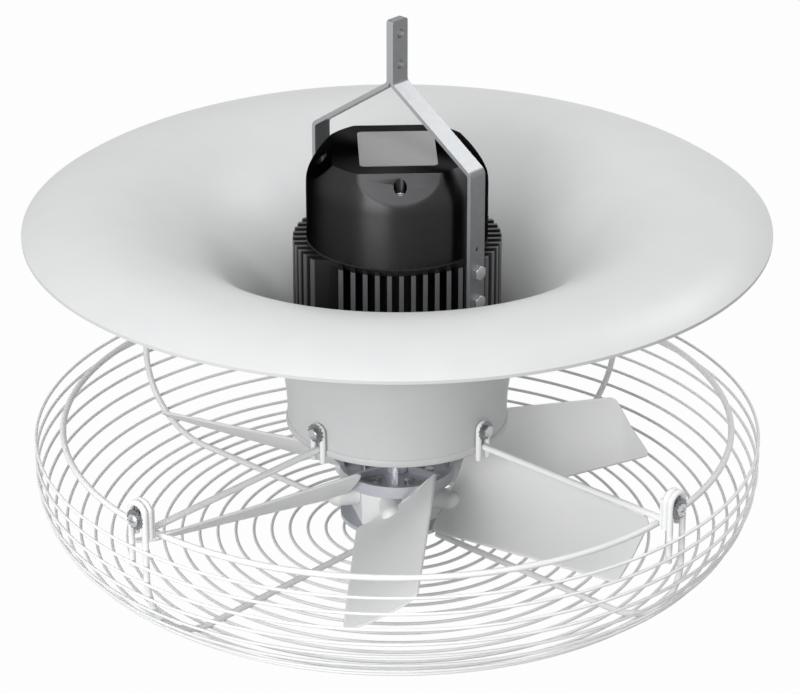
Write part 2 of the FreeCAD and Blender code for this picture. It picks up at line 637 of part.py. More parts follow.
# Bracket straps
def strap(label, side):
    """Flat bar bent at the lug and over the cap, with its leg down the motor; side is 1 or -1."""
    body = new_body(f"{label}_bar")
    fall = f"(strap_thick * (strap_rise - sqrt({PAD_FACE} ^ 2 + strap_rise ^ 2)) / {PAD_FACE})"
    outer = [
        ("0", "hole_pitch / 2 + lug_above"),
        ("strap_thick", "hole_pitch / 2 + lug_above"),
        ("strap_thick", LUG_BOTTOM),
        (STRAP_OUT, BEND),
        (STRAP_OUT, LEG_END),
        (PAD_FACE, LEG_END),
        (PAD_FACE, f"{BEND} + {fall}"),
        ("0", f"{LUG_BOTTOM} + {fall}"),
    ]
    mirrored = [(x if x == "0" else f"{side} * ({x})", z) for x, z in outer]
    sketch = new_sketch(body, f"{label}_outline", "XZ_Plane")
    add_loop(sketch, mirrored)
    bar = extrude(body, f"{label}_pad", sketch, "strap_width", both=True)
    for name, corners, radius in (
        ("inside", (2, 6), "strap_bend"),
        ("outside", (3, 7), "strap_bend + strap_thick"),
    ):
        places = [(val(mirrored[i][0]), val(mirrored[i][1])) for i in corners]
        bar = round_edges(
            body, f"{label}_{name}_bends", bar,
            lambda p, q, m: any(near(p, *spot) and near(q, *spot) for spot in places), radius,
        )
    ends = (val("hole_pitch / 2 + lug_above"), val(LEG_END))
    across = val("strap_thick * 1.01")
    round_edges(
        body, f"{label}_corners", bar,
        lambda p, q, m: any(near(p, p.x, z) and near(q, q.x, z) for z in ends)
        and abs(p.y - q.y) < 0.001 and abs(p.x - q.x) < across, "strap_corner",
    )
    tools = []
    for name, level in (("high", "hole_pitch / 2"), ("low", "-hole_pitch / 2")):
        start, length = "-2 * strap_thick", "4 * strap_thick"
        hole = cylinder(f"{label}_hang_{name}", "hanging_hole / 2", length, start, "0", level, (1, 0, 0))
        tools.append(hole)
    angle = 0 if side == 1 else 180
    for name, level, width in (
        ("upper", STRAP_BOLT_HIGH, "strap_bolt + strap_hole_fit"),
        ("lower", STRAP_BOLT_LOW, "strap_bolt + strap_hole_fit"),
        ("pilot", f"{STRAP_BOLT_HIGH} + pilot_rise", "pilot_hole"),
    ):
        start, length = f"{PAD_FACE} - strap_thick", "3 * strap_thick"
        tools.append(radial(f"{label}_{name}_hole", f"({width}) / 2", start, length, level, angle))
    pieces.append(cut(label, body, tools))


strap("strap_right", 1)
strap("strap_left", -1)


def hex_bolt(name, thread, flats, start, reach, level, angle):
    """Bolt on a radius: its head outside the seat at start, its shank inwards over reach."""
    head = f"({thread}) * {HEAD_HEIGHT}"
    c, s = heading(angle)
    x, y = f"({start}) * {c}", f"({start}) * {s}"
    shank = radial(f"{name}_shank", f"({thread}) / 2", f"{start} - ({reach})", reach, level, angle)
    return fused(name, [shank, hexagon(f"{name}_head", flats, head, x, y, level, (c, s, 0))])


def group(label, items):
    """Several separate solids under one name."""
    item = doc.addObject("Part::Compound", label)
    item.Label = label
    item.Links = items
    pieces.append(item)


bolts = []
for angle in (0, 180):
    for name, level in (("high", STRAP_BOLT_HIGH), ("low", STRAP_BOLT_LOW)):
        label = f"strap_bolt_{angle}_{name}"
        reach = "strap_thick + pad_bolt_depth - strap_bolt_room"
        bolts.append(hex_bolt(label, "strap_bolt", "strap_bolt_hex", STRAP_OUT, reach, level, angle))
group("strap_bolts", bolts)


# Motor housing: a turned tube with four sets of parallel fins and two bosses for the straps
def motor_housing():
    """Turned tube with fins added in four sets, trimmed to a round outline, and bosses with tapped holes."""
    body = new_body("motor_housing_casting")
    revolve(body, "housing_tube", [
        ("stator_bore / 2", HOUSING_BOTTOM),
        (HOUSING_OUT, HOUSING_BOTTOM),
        (HOUSING_OUT, f"{MOTOR_TOP} - cap_flange"),
        (CAP_OUT, f"{MOTOR_TOP} - cap_flange"),
        (CAP_OUT, MOTOR_TOP),
        (SHIELD_SEAT, MOTOR_TOP),
        (SHIELD_SEAT, UPPER_SHIELD_BASE),
        ("stator_bore / 2", UPPER_SHIELD_BASE),
    ])
    turn = FreeCAD.Rotation(FreeCAD.Vector(0, 0, 1), QUADRANT_ANGLES[0])
    fins = new_sketch(body, "fin_outline", "XY_Plane", HOUSING_BOTTOM, turn=turn)
    for i in range(-FINS_PER_SIDE, FINS_PER_SIDE + 1):
        low = f"{i} * fin_pitch - fin_thick / 2"
        high = f"{i} * fin_pitch + fin_thick / 2"
        inner = f"sqrt({FIN_ROOT} ^ 2 - ({i} * fin_pitch) ^ 2)"
        add_loop(fins, [(inner, low), (FIN_TIP, low), (FIN_TIP, high), (inner, high)])
    pad = extrude(body, "fins", fins, "housing_length")
    polar(body, "fin_sets", pad, 4)
    trim = revolve(body, "fin_tips", [
        (FIN_TIP, f"{HOUSING_BOTTOM} - {OVER}"),
        (f"2 * {FIN_TIP}", f"{HOUSING_BOTTOM} - {OVER}"),
        (f"2 * {FIN_TIP}", f"{MOTOR_TOP} + {OVER}"),
        (FIN_TIP, f"{MOTOR_TOP} + {OVER}"),
    ], "PartDesign::Groove")
    body.Tip = trim
    bosses = []
    seats = []
    holes = []
    for angle in (0, 180):
        side = 1 if angle == 0 else -1
        height = f"({MOTOR_TOP} - {STRAP_BOLT_LOW} + pad_tail)"
        deep = f"({PAD_FACE} - {FIN_ROOT})"
        start = FIN_ROOT if side == 1 else f"-{PAD_FACE}"
        base = f"{STRAP_BOLT_LOW} - pad_tail"
        bosses.append(box(f"strap_boss_{angle}", deep, "pad_width", height, start, "-pad_width / 2", base))
        clear = "(pad_inset + strap_thick)"
        start = PAD_FACE if side == 1 else f"-{PAD_FACE} - {clear}"
        wide, high = "(strap_width + strap_seat_room)", f"housing_length + 2 * {OVER}"
        base = f"{HOUSING_BOTTOM} - {OVER}"
        seats.append(box(f"strap_seat_{angle}", clear, wide, high, start, f"-{wide} / 2", base))
        for name, level in (("high", STRAP_BOLT_HIGH), ("low", STRAP_BOLT_LOW)):
            holes.append(
                radial(f"tapped_{angle}_{name}", "strap_bolt / 2 + fit_gap", f"{PAD_FACE} - pad_bolt_depth",
                       f"pad_bolt_depth + {OVER}", level, angle)
            )
    for angle in QUADRANT_ANGLES:
        c, s = heading(angle)
        x, y = f"{SHIELD_SCREW_RING} * {c}", f"{SHIELD_SCREW_RING} * {s}"
        wide = "shield_screw / 2 + shield_screw_boss"
        bosses.append(
            cylinder(f"screw_boss_{angle}", wide, "shield_screw_grip + shield_screw", x, y, HOUSING_BOTTOM)
        )
        holes.append(
            cylinder(f"screw_hole_{angle}", "shield_screw / 2 + fit_gap", f"shield_screw_grip + {OVER}", x, y,
                     f"{HOUSING_BOTTOM} - {OVER}")
        )
    holes.append(cylinder("shield_recess", SHIELD_SEAT, f"shield_bore_depth + {OVER}", z=UPPER_SHIELD_BASE))
    with_bosses = fused("motor_housing_bosses", [body] + bosses)
    pieces.append(cut("motor_housing", with_bosses, seats + holes))


motor_housing()


# Motor cap: a round cover with a soft shoulder, four sloped faces and a deep screw in each
def motor_cap():
    """Round hollow cover with screw posts, cut by four sloped faces and a counterbore in each."""
    body = new_body("motor_cap_moulding")
    wide, flat_top = CAP_OUT, f"({CAP_OUT} - cap_round)"
    shoulder = "((cap_shoulder ^ 2 + cap_round ^ 2) / (2 * cap_round))"
    revolve(body, "cap_body", [
        ("0", CAP_BOTTOM),
        (wide, CAP_BOTTOM),
        (wide, f"{CAP_TOP} - cap_shoulder", shoulder, 1),
        (flat_top, CAP_TOP),
        ("0", CAP_TOP),
    ])
    inner = f"({wide} - cap_wall)"
    roof = f"({CAP_TOP} - cap_roof)"
    flat = f"({FACET} - cap_roof)"
    hollow = revolve(body, "cap_hollow", [
        ("0", f"{CAP_BOTTOM} - {OVER}"),
        (inner, f"{CAP_BOTTOM} - {OVER}"),
        (inner, f"{roof} - ({inner} - {flat})"),
        (flat, roof),
        ("0", roof),
    ], "PartDesign::Groove")
    body.Tip = hollow
    posts = new_sketch(body, "cap_post_outline", "XY_Plane", CAP_BOTTOM)
    for angle in QUADRANT_ANGLES:
        c, s = heading(angle)
        add_circle(posts, f"{CAP_SCREW_RING} * {c}", f"{CAP_SCREW_RING} * {s}", "cap_post / 2")
    extrude(body, "cap_posts", posts, "cap_height - 2 * cap_roof")
    turn = FreeCAD.Rotation(FreeCAD.Vector(0, 1, 0), QUADRANT_ANGLES[0])
    slope = new_sketch(body, "facet_outline", "XZ_Plane", turn=turn)
    add_loop(slope, [
        (f"{FACET} - {OVER}", f"{CAP_TOP} + {OVER}"),
        (f"{FACET} + facet_inset * 2", f"{CAP_TOP} - facet_inset * 2"),
        (f"{FACET} + facet_inset * 2", f"{CAP_TOP} + {OVER}"),
    ])
    facet = extrude(body, "facet", slope, f"4 * {CAP_OUT}", "PartDesign::Pocket", both=True)
    facets = polar(body, "facets", facet, 4)
    top, low = val(CAP_TOP), val(f"{CAP_TOP} - facet_inset / 2")
    round_edges(
        body, "facet_rounding", facets,
        lambda p, q, m: near(p, p.x, top) and near(q, q.x, top) and m.z < low, "facet_round",
    )
    tools = []
    for angle in QUADRANT_ANGLES:
        c, s = heading(angle)
        x, y = f"{CAP_SCREW_RING} * {c}", f"{CAP_SCREW_RING} * {s}"
        wide_bore, deep = "cap_screw_head / 2 + counterbore_room", f"cap_screw_depth + {OVER}"
        tools.append(cylinder(f"cap_counterbore_{angle}", wide_bore, deep, x, y, CAP_SEAT))
        narrow_bore, base = "cap_screw / 2 + fit_gap", f"{CAP_BOTTOM} - {OVER}"
        tools.append(cylinder(f"cap_screw_hole_{angle}", narrow_bore, "cap_height", x, y, base))
    level = f"{CAP_BOTTOM} + gland_rise"
    start, length = f"{wide} - 4 * cap_wall", "6 * cap_wall"
    tools.append(radial("gland_hole", "gland_thread / 2 + fit_gap", start, length, level, GLAND_ANGLE))
    pieces.append(cut("motor_cap", body, tools))


motor_cap()

screws = []
for angle in QUADRANT_ANGLES:
    c, s = heading(angle)
    x, y = f"{CAP_SCREW_RING} * {c}", f"{CAP_SCREW_RING} * {s}"
    tip = f"({UPPER_SHIELD_TOP} - cap_screw_grip)"
    shank = cylinder(f"cap_screw_shank_{angle}", "cap_screw / 2", f"{CAP_SEAT} - {tip}", x, y, tip)
    high = f"cap_screw * {HEAD_HEIGHT}"
    head = cylinder(f"cap_screw_head_{angle}", "cap_screw_head / 2", high, x, y, CAP_SEAT)
    screws.append(fused(f"cap_screw_{angle}", [shank, head]))
group("cap_screws", screws)

pieces.append(turned("cap_gasket", [
    (SHIELD_SEAT, MOTOR_TOP),
    (CAP_OUT, MOTOR_TOP),
    (CAP_OUT, CAP_BOTTOM),
    (SHIELD_SEAT, CAP_BOTTOM),
]))


def nameplate():
    """Bare rating plate on the flat top, square to the sloped faces."""
    body = new_body("nameplate")
    turn = FreeCAD.Rotation(FreeCAD.Vector(0, 0, 1), QUADRANT_ANGLES[0])
    sketch = new_sketch(body, "nameplate_outline", "XY_Plane", CAP_TOP, turn=turn)
    add_loop(sketch, [
        ("-plate_wide / 2", "-plate_long / 2"),
        ("plate_wide / 2", "-plate_long / 2"),
        ("plate_wide / 2", "plate_long / 2"),
        ("-plate_wide / 2", "plate_long / 2"),
    ])
    extrude(body, "nameplate_sheet", sketch, "plate_thick")
    pieces.append(body)


nameplate()

# Cable gland at the back of the cap, with its nut inside
level = f"{CAP_BOTTOM} + gland_rise"
gland_seat = CAP_OUT
gland_in = f"({gland_seat} - cap_wall - gland_nut_thick - gland_thread_end)"
c, s = heading(GLAND_ANGLE)
seat_x, seat_y = f"{gland_seat} * {c}", f"{gland_seat} * {s}"
dome, dome_start = "gland_hex / 2 - gland_dome_step", f"{gland_seat} + gland_hex_length"
gland = fused("cable_gland_body", [
    radial("gland_shank", "gland_thread / 2", gland_in, f"{gland_seat} - {gland_in}", level, GLAND_ANGLE),
    hexagon("gland_hexagon", "gland_hex", "gland_hex_length", seat_x, seat_y, level, (c, s, 0)),
    radial("gland_dome_bar", dome, dome_start, "gland_dome", level, GLAND_ANGLE),
])
bore = radial("gland_bore_tool", "gland_bore / 2", f"{gland_in} - {OVER}", CAP_OUT, level, GLAND_ANGLE)
pieces.append(cut("cable_gland", gland, [bore]))
nut_corner = "(gland_hex / 2 / cos(30))"
nut_start = f"(sqrt(({CAP_OUT} - cap_wall) ^ 2 - {nut_corner} ^ 2) - gland_nut_thick - fit_gap)"
nut_x, nut_y = f"{nut_start} * {c}", f"{nut_start} * {s}"
nut = hexagon("gland_nut_bar", "gland_hex", "gland_nut_thick", nut_x, nut_y, level, (c, s, 0))
bore_start, bore_length = f"{nut_start} - {OVER}", f"gland_nut_thick + 2 * {OVER}"
nut_bore = radial("gland_nut_tool", "gland_thread / 2 + fit_gap", bore_start, bore_length, level, GLAND_ANGLE)
pieces.append(cut("gland_nut", nut, [nut_bore]))

# Upper shield, dropped into the top of the housing, and what lies on it under the cap
shield_tools = []
for angle in QUADRANT_ANGLES:
    c, s = heading(angle)
    shield_tools.append(
        cylinder(f"cap_thread_{angle}", "cap_screw / 2 + fit_gap", f"cap_screw_grip + 2 * {OVER}",
                 f"{CAP_SCREW_RING} * {c}", f"{CAP_SCREW_RING} * {s}",
                 f"{UPPER_SHIELD_TOP} - cap_screw_grip - {OVER}")
    )
upper_blank = turned("upper_end_shield_blank", [
    (RING_IN, UPPER_SHIELD_TOP),
    (f"{SHIELD_SEAT} - fit_gap", UPPER_SHIELD_TOP),
    (f"{SHIELD_SEAT} - fit_gap", UPPER_SHIELD_BASE),
    (BOSS_OUT, UPPER_SHIELD_BASE),
    (BOSS_OUT, UPPER_BEARING_BASE),
    ("bearing_outer / 2 + fit_gap", UPPER_BEARING_BASE),
    ("bearing_outer / 2 + fit_gap", UPPER_SEAT),
    (RING_IN, UPPER_SEAT),
])
pieces.append(cut("upper_end_shield", upper_blank, shield_tools))

aside = "-capacitor_diameter / 2 - capacitor_offset"
above = f"{UPPER_SHIELD_TOP} + capacitor_diameter / 2"
end = "capacitor_length / 2"
can = cylinder("capacitor_can", "capacitor_diameter / 2", "capacitor_length", f"-{end}", aside, above, (1, 0, 0))
stud = cylinder("capacitor_stud", "stud_diameter / 2", "stud_length", end, aside, above, (1, 0, 0))
pieces.append(fused("run_capacitor", [can, stud]))
pieces.append(box("terminal_block", "terminal_long", "terminal_wide", "terminal_high", "-terminal_long / 2",
                  "terminal_offset", UPPER_SHIELD_TOP))


# Bearings, windings and rotor
def bearing_rings(label, corner_sets):
    """Two rings of one kind, for the upper and the lower bearing."""
    group(label, [turned(f"{label}_{name}", corners) for name, corners in corner_sets])


def outer_ring(top, base):
    """Outer ring with the two thin discs that close the bearing."""
    lip = f"({RING_IN} + running_gap)"
    return [
        (lip, top),
        ("bearing_outer / 2", top),
        ("bearing_outer / 2", base),
        (lip, base),
        (lip, f"{base} + bearing_seal"),
        (RING_OUT, f"{base} + bearing_seal"),
        (RING_OUT, f"{top} - bearing_seal"),
        (lip, f"{top} - bearing_seal"),
    ]


def tube(inner, outer, top, base):
    """Section of a plain ring."""
    return [(inner, top), (outer, top), (outer, base), (inner, base)]


upper, lower = (UPPER_BEARING_TOP, UPPER_BEARING_BASE), (LOWER_BEARING_TOP, LOWER_BEARING_BASE)
bearing_rings("bearing_outer_rings", [("upper", outer_ring(*upper)), ("lower", outer_ring(*lower))])
bearing_rings("bearing_inner_rings", [
    ("upper", tube(SHAFT_HOLE, RING_IN, *upper)),
    ("lower", tube(SHAFT_HOLE, RING_IN, *lower)),
])
washer_out = "bearing_outer / 2 - washer_inset"
pieces.append(turned("preload_washer", tube(RING_OUT, washer_out, UPPER_SEAT, UPPER_BEARING_TOP)))
core = ("rotor_diameter / 2 + air_gap", "stator_bore / 2 - fit_gap")
pieces.append(turned("stator_core", tube(*core, CORE_TOP, CORE_BASE)))
turns = ("rotor_diameter / 2 + winding_room", "stator_bore / 2 - winding_room")
group("stator_winding", [
    turned("winding_upper", tube(*turns, f"{CORE_TOP} + winding_height", CORE_TOP)),
    turned("winding_lower", tube(*turns, CORE_BASE, f"{CORE_BASE} - winding_height")),
])
pieces.append(turned("rotor_core", tube(SHAFT_HOLE, "rotor_diameter / 2", CORE_TOP, CORE_BASE)))
cage = ("rotor_diameter / 2 - cage_inset - cage_wall", "rotor_diameter / 2 - cage_inset")
group("rotor_end_rings", [
    turned("cage_upper", tube(*cage, f"{CORE_TOP} + cage_height", CORE_TOP)),
    turned("cage_lower", tube(*cage, CORE_BASE, f"{CORE_BASE} - cage_height")),
])

# Lower shield: a spigot in the housing, the bearing boss and the skirt that the hood hangs on
lower_blank = turned("lower_end_shield_blank", [
    ("bearing_outer / 2 + fit_gap", LOWER_BEARING_TOP),
    ("stator_bore / 2 - fit_gap", LOWER_BEARING_TOP),
    ("stator_bore / 2 - fit_gap", HOUSING_BOTTOM),
    (FIN_TIP, HOUSING_BOTTOM),
    (FIN_TIP, f"{HOUSING_BOTTOM} - shield_flange"),
    (SKIRT_OUT, f"{HOUSING_BOTTOM} - shield_flange"),
    (SKIRT_OUT, SHIELD_BOTTOM),
    (f"{SKIRT_OUT} - skirt_wall", SHIELD_BOTTOM),
    (f"{SKIRT_OUT} - skirt_wall", SHIELD_FLOOR),
    (BOSS_OUT, SHIELD_FLOOR),
    (BOSS_OUT, SEAL_BASE),
    ("seal_outer / 2 + fit_gap", SEAL_BASE),
    ("seal_outer / 2 + fit_gap", SHIELD_FLOOR),
    (RING_OUT, SHIELD_FLOOR),
    (RING_OUT, LOWER_BEARING_BASE),
    ("bearing_outer / 2 + fit_gap", LOWER_BEARING_BASE),
])
shield_tools = []
screws = []
for angle in QUADRANT_ANGLES:
    c, s = heading(angle)
    x, y = f"{SHIELD_SCREW_RING} * {c}", f"{SHIELD_SCREW_RING} * {s}"
    tip = f"({HOUSING_BOTTOM} + shield_screw_grip - screw_end_room)"
    long, base = f"shield_height + 2 * {OVER}", f"{SHIELD_BOTTOM} - {OVER}"
    shield_tools.append(
        cylinder(f"shield_screw_hole_{angle}", "shield_screw / 2 + fit_gap", long, x, y, base)
    )
    long = f"{tip} - {SHIELD_FLOOR}"
    shank = cylinder(f"shield_screw_shank_{angle}", "shield_screw / 2", long, x, y, SHIELD_FLOOR)
    high = f"(shield_screw * {HEAD_HEIGHT})"
    wide = f"{HEAD_WIDTH} * shield_screw"
    head = cylinder(f"shield_screw_head_{angle}", wide, high, x, y, f"{SHIELD_FLOOR} - {high}")
    screws.append(fused(f"shield_screw_{angle}", [shank, head]))
for angle in STRUT_ANGLES:
    start, length = f"{SKIRT_OUT} - skirt_wall - {OVER}", f"skirt_wall + 2 * {OVER}"
    thread = radial(f"hood_thread_{angle}", "hood_bolt / 2 + fit_gap", start, length, HOOD_BOLT, angle)
    shield_tools.append(thread)
pieces.append(cut("lower_end_shield", lower_blank, shield_tools))
group("shield_screws", screws)
seal = (f"{SHAFT_RADIUS} + running_gap", "seal_outer / 2")
pieces.append(turned("shaft_seal", tube(*seal, SHIELD_FLOOR, SEAL_BASE)))


# Hood: one trumpet-shaped wall, from the beaded duct through the flare and over the crest to its lip
def hood():
    """Wall of even thickness turned about the axis: duct, flare, crest and lip, with a hole for each bolt."""
    narrow, crest, across = DUCT_IN, CREST_OUT, "flare_width"
    above = f"({CREST} - crest_curve - {FLARE_START})"
    flare = f"(({across} ^ 2 + {above} ^ 2 - crest_curve ^ 2) / (2 * ({across} - crest_curve)))"
    share = f"({flare} / ({flare} - crest_curve))"
    thin = f"(({flare} - hood_wall) / ({flare} - crest_curve))"
    centre = f"({narrow} + {flare})"

    def join(part):
        """Point where the two arcs of the flare meet, on the line through their centres."""
        x = f"{centre} + ({crest} - {centre}) * {part}"
        z = f"{FLARE_START} + {above} * {part}"
        return x, z

    lip = "((lip_width ^ 2 + crest_rise ^ 2) / (2 * crest_rise))"
    blank = turned("hood_blank", [
        (narrow, DUCT_BOTTOM),
        (narrow, FLARE_START, flare, -1),
        (*join(share), "crest_curve", -1),
        (crest, CREST, lip, -1),
        (HOOD_OUT, HOOD_EDGE),
        (HOOD_OUT, f"{HOOD_EDGE} - hood_wall", lip, 1),
        (crest, f"{CREST} - hood_wall", "crest_curve - hood_wall", 1),
        (*join(thin), f"{flare} - hood_wall", 1),
        (f"{narrow} + hood_wall", FLARE_START),
        (f"{narrow} + hood_wall", f"{DUCT_BOTTOM} + bead_rise"),
        (f"{narrow} + hood_wall + bead_out", f"{DUCT_BOTTOM} + bead_rise - 2 * bead_out"),
        (f"{narrow} + hood_wall + bead_out", DUCT_BOTTOM),
    ])
    start, length = f"{narrow} - 2 * hood_wall", "5 * hood_wall"
    holes = [
        radial(f"hood_hole_{angle}", "hood_bolt / 2 + bolt_play", start, length, HOOD_BOLT, angle)
        for angle in STRUT_ANGLES
    ]
    pieces.append(cut("hood", blank, holes))


hood()

bolts = []
washers = []
for angle in STRUT_ANGLES:
    seat = f"({HOOP_FACE} + washer_thick)"
    reach = f"({seat} - {SKIRT_OUT} + skirt_wall - screw_end_room)"
    bolts.append(hex_bolt(f"hood_bolt_{angle}", "hood_bolt", "hood_bolt_hex", seat, reach, HOOD_BOLT, angle))
    disc = radial(f"hood_washer_disc_{angle}", "hood_washer / 2", HOOP_FACE, "washer_thick", HOOD_BOLT, angle)
    bore, start, length = "(hood_bolt + bolt_play) / 2", f"{HOOP_FACE} - {OVER}", f"washer_thick + 2 * {OVER}"
    hole = radial(f"hood_washer_hole_{angle}", bore, start, length, HOOD_BOLT, angle)
    washers.append(cut(f"hood_washer_{angle}", disc, [hole]))
group("hood_bolts", bolts)
group("hood_washers", washers)


# Struts: a rod with a hoop round the hood bolt at one end, and a threaded tab and an arch at the other
def arch(radius, half, spring, tail):
    """Edges of an upright arch square to X: up one leg, over and down the other."""
    low = [FreeCAD.Vector(radius, y, tail) for y in (half, -half)]
    high = [FreeCAD.Vector(radius, y, spring) for y in (half, -half)]
    crown = FreeCAD.Vector(radius, 0, spring + half)
    return [
        Part.LineSegment(low[0], high[0]).toShape(),
        Part.Arc(high[0], crown, high[1]).toShape(),
        Part.LineSegment(high[1], low[1]).toShape(),
    ]


def strut_shape():
    """Rod with its duct hoop, its tab with a tapped hole and its ear hoop, joined as one welded piece."""
    level = val(STRUT)
    hoop_tail = val(f"{HOOD_BOLT} - hoop_tail")
    hoop = bent_wire(arch(val(HOOP_RADIUS), val(HOOP_HALF), val(HOOD_BOLT), hoop_tail), val("hoop_wire"))
    ear_tail = level - val("strut_wire") / 2
    ear = bent_wire(arch(val(EAR_HOOP_RADIUS), val("ear_span / 2"), val(EAR_ARCH), ear_tail), val("rib_wire"))
    start = FreeCAD.Vector(val(HOOP_RADIUS), 0, level)
    end = FreeCAD.Vector(val(TAB_OUT) - val("tab_thick") / 2, 0, level)
    rod = bent_wire([Part.LineSegment(start, end).toShape()], val("strut_wire"))
    width, thick = val("tab_width"), val("tab_thick")
    bottom, top = level, val(f"{EAR_SCREW} + tab_above")
    corner = FreeCAD.Vector(val(TAB_OUT) - thick, -width / 2, bottom)
    tab = Part.makeBox(thick, width, top - bottom, corner)
    inside = FreeCAD.Vector(corner.x - thick, 0, val(EAR_SCREW))
    hole = Part.makeCylinder(val("ear_screw / 2 + fit_gap"), 4 * thick, inside, FreeCAD.Vector(1, 0, 0))
    return rod.multiFuse([hoop, ear, tab]).cut(hole).removeSplitter()


strut_master = strut_shape()
for number, angle in enumerate(STRUT_ANGLES, start=1):
    item = feature(f"strut_{number}", strut_master)
    item.Placement = FreeCAD.Placement(FreeCAD.Vector(), FreeCAD.Rotation(FreeCAD.Vector(0, 0, 1), angle))
    pieces.append(item)


# Guard: a thick rim under the struts, four ribs that end in ears, and thin rings outside the ribs
rim = wire_ring(val(RIM_RADIUS), val(RIM), val("rim_wire"), WIRE_SIDES, RIM_SIDES)
pieces.append(feature("guard_rim", rim))


def rib_shape():
    """Rib from the middle of the floor, round the corner, up the side, over the ear and down a short leg."""
    y = val("ear_span / 2")
    side, corner, floor = val(RIB_SIDE), val("basket_corner"), val(RIB_FLOOR)
    bend = corner * math.sqrt(0.5)
    centre = FreeCAD.Vector(val(CORNER_RADIUS), y, val(CORNER_LEVEL))
    start = FreeCAD.Vector(val("rib_start"), y, floor)
    flat = FreeCAD.Vector(centre.x, y, floor)
    middle = FreeCAD.Vector(centre.x + bend, y, centre.z - bend)
    upright = FreeCAD.Vector(side, y, centre.z)
    spring = val(EAR_ARCH)
    path = [
        Part.LineSegment(start, flat).toShape(),
        Part.Arc(flat, middle, upright).toShape(),
        Part.LineSegment(upright, FreeCAD.Vector(side, y, spring)).toShape(),
    ]
    path += arch(side, y, spring, val(f"{EAR_SCREW} - rib_short_leg"))[1:]
    return bent_wire(path, val("rib_wire"))


rib_master = rib_shape()
for number, angle in enumerate(STRUT_ANGLES, start=1):
    item = feature(f"guard_rib_{number}", rib_master)
    item.Placement = FreeCAD.Placement(FreeCAD.Vector(), FreeCAD.Rotation(FreeCAD.Vector(0, 0, 1), angle))
    pieces.append(item)


def guard_rings():
    """Rings at an even pitch down the upright part of the ribs, round their bend and in along the floor."""
    offset = val(RING_OFFSET)
    side, bend = val(RIB_SIDE) + offset, val("basket_corner") + offset
    upright = val(f"{RIM} - first_ring_drop - {CORNER_LEVEL}")
    round_length = bend * math.pi / 2
    pitch = val("side_pitch")
    places = []
    run = 0.0
    while run < upright + round_length - pitch / 2:
        if run < upright:
            places.append((side, val(f"{RIM} - first_ring_drop") - run, 0.0))
        else:
            a = (run - upright) / bend
            radius = val(CORNER_RADIUS) + bend * math.cos(a)
            places.append((radius, val(CORNER_LEVEL) - bend * math.sin(a), -a))
        run += pitch
    floor = []
    radius = val("floor_ring_inner")
    while radius < val(CORNER_RADIUS) + val("floor_pitch") / 4:
        floor.append((radius, val(FLOOR_RINGS), 0.0))
        radius += val("floor_pitch")
    for label, spots in (("guard_side_rings", places), ("guard_floor_rings", floor)):
        rings = [wire_ring(r, z, val("ring_wire"), RING_SIDES, sides_for(r), tilt) for r, z, tilt in spots]
        pieces.append(feature(label, Part.makeCompound(rings)))


guard_rings()

screws = []
washers = []
for angle in STRUT_ANGLES:
    seat = f"({EAR_FACE} + washer_thick)"
    reach = f"({seat} - {TAB_OUT} + tab_thick + ear_screw_out)"
    head_high = f"(ear_screw * {HEAD_HEIGHT})"
    shank = radial(f"ear_screw_shank_{angle}", "ear_screw / 2", f"{seat} - {reach}", reach, EAR_SCREW, angle)
    head = radial(f"ear_screw_head_{angle}", "ear_screw_head / 2", seat, head_high, EAR_SCREW, angle)
    screws.append(fused(f"ear_screw_{angle}", [shank, head]))
    disc = radial(f"ear_washer_disc_{angle}", "ear_washer / 2", EAR_FACE, "washer_thick", EAR_SCREW, angle)
    bore, start, length = "ear_screw / 2 + bolt_play", f"{EAR_FACE} - {OVER}", f"washer_thick + 2 * {OVER}"
    hole = radial(f"ear_washer_hole_{angle}", bore, start, length, EAR_SCREW, angle)
    washers.append(cut(f"ear_washer_{angle}", disc, [hole]))
group("ear_screws", screws)
group("ear_washers", washers)

# Shaft and hub
shaft_top = f"({MOTOR_TOP} - shaft_top_drop)"
shaft_bar = cylinder("shaft_bar", SHAFT_RADIUS, f"{shaft_top} - {SHAFT_END}", z=SHAFT_END)
key_base = f"({HUB_SEAT} + (hub_height - hub_recess - key_length) / 2)"
key_start = f"({SHAFT_RADIUS} - key_height / 2)"
key_slot = box("shaft_key_slot", "key_height", "key_width + 2 * fit_gap", "key_length + 2 * fit_gap",
               f"{key_start} - fit_gap", "-key_width / 2 - fit_gap", f"{key_base} - fit_gap")
bolt_hole = cylinder("shaft_bolt_hole", "hub_bolt / 2 + fit_gap", f"hub_bolt_depth + 2 * {OVER}",
                     z=f"{SHAFT_END} - {OVER}")
pieces.append(cut("motor_shaft", shaft_bar, [key_slot, bolt_hole]))
key = box("shaft_key", "key_height", "key_width", "key_length", key_start, "-key_width / 2", key_base)
pieces.append(key)


def behind(radius, angle):
    """Place on a blade root's line: at a distance along an angle, and set back as the roots are."""
    c, s = heading(angle)
    return f"({radius}) * {c} + stub_shift * {s}", f"({radius}) * {s} - stub_shift * {c}"


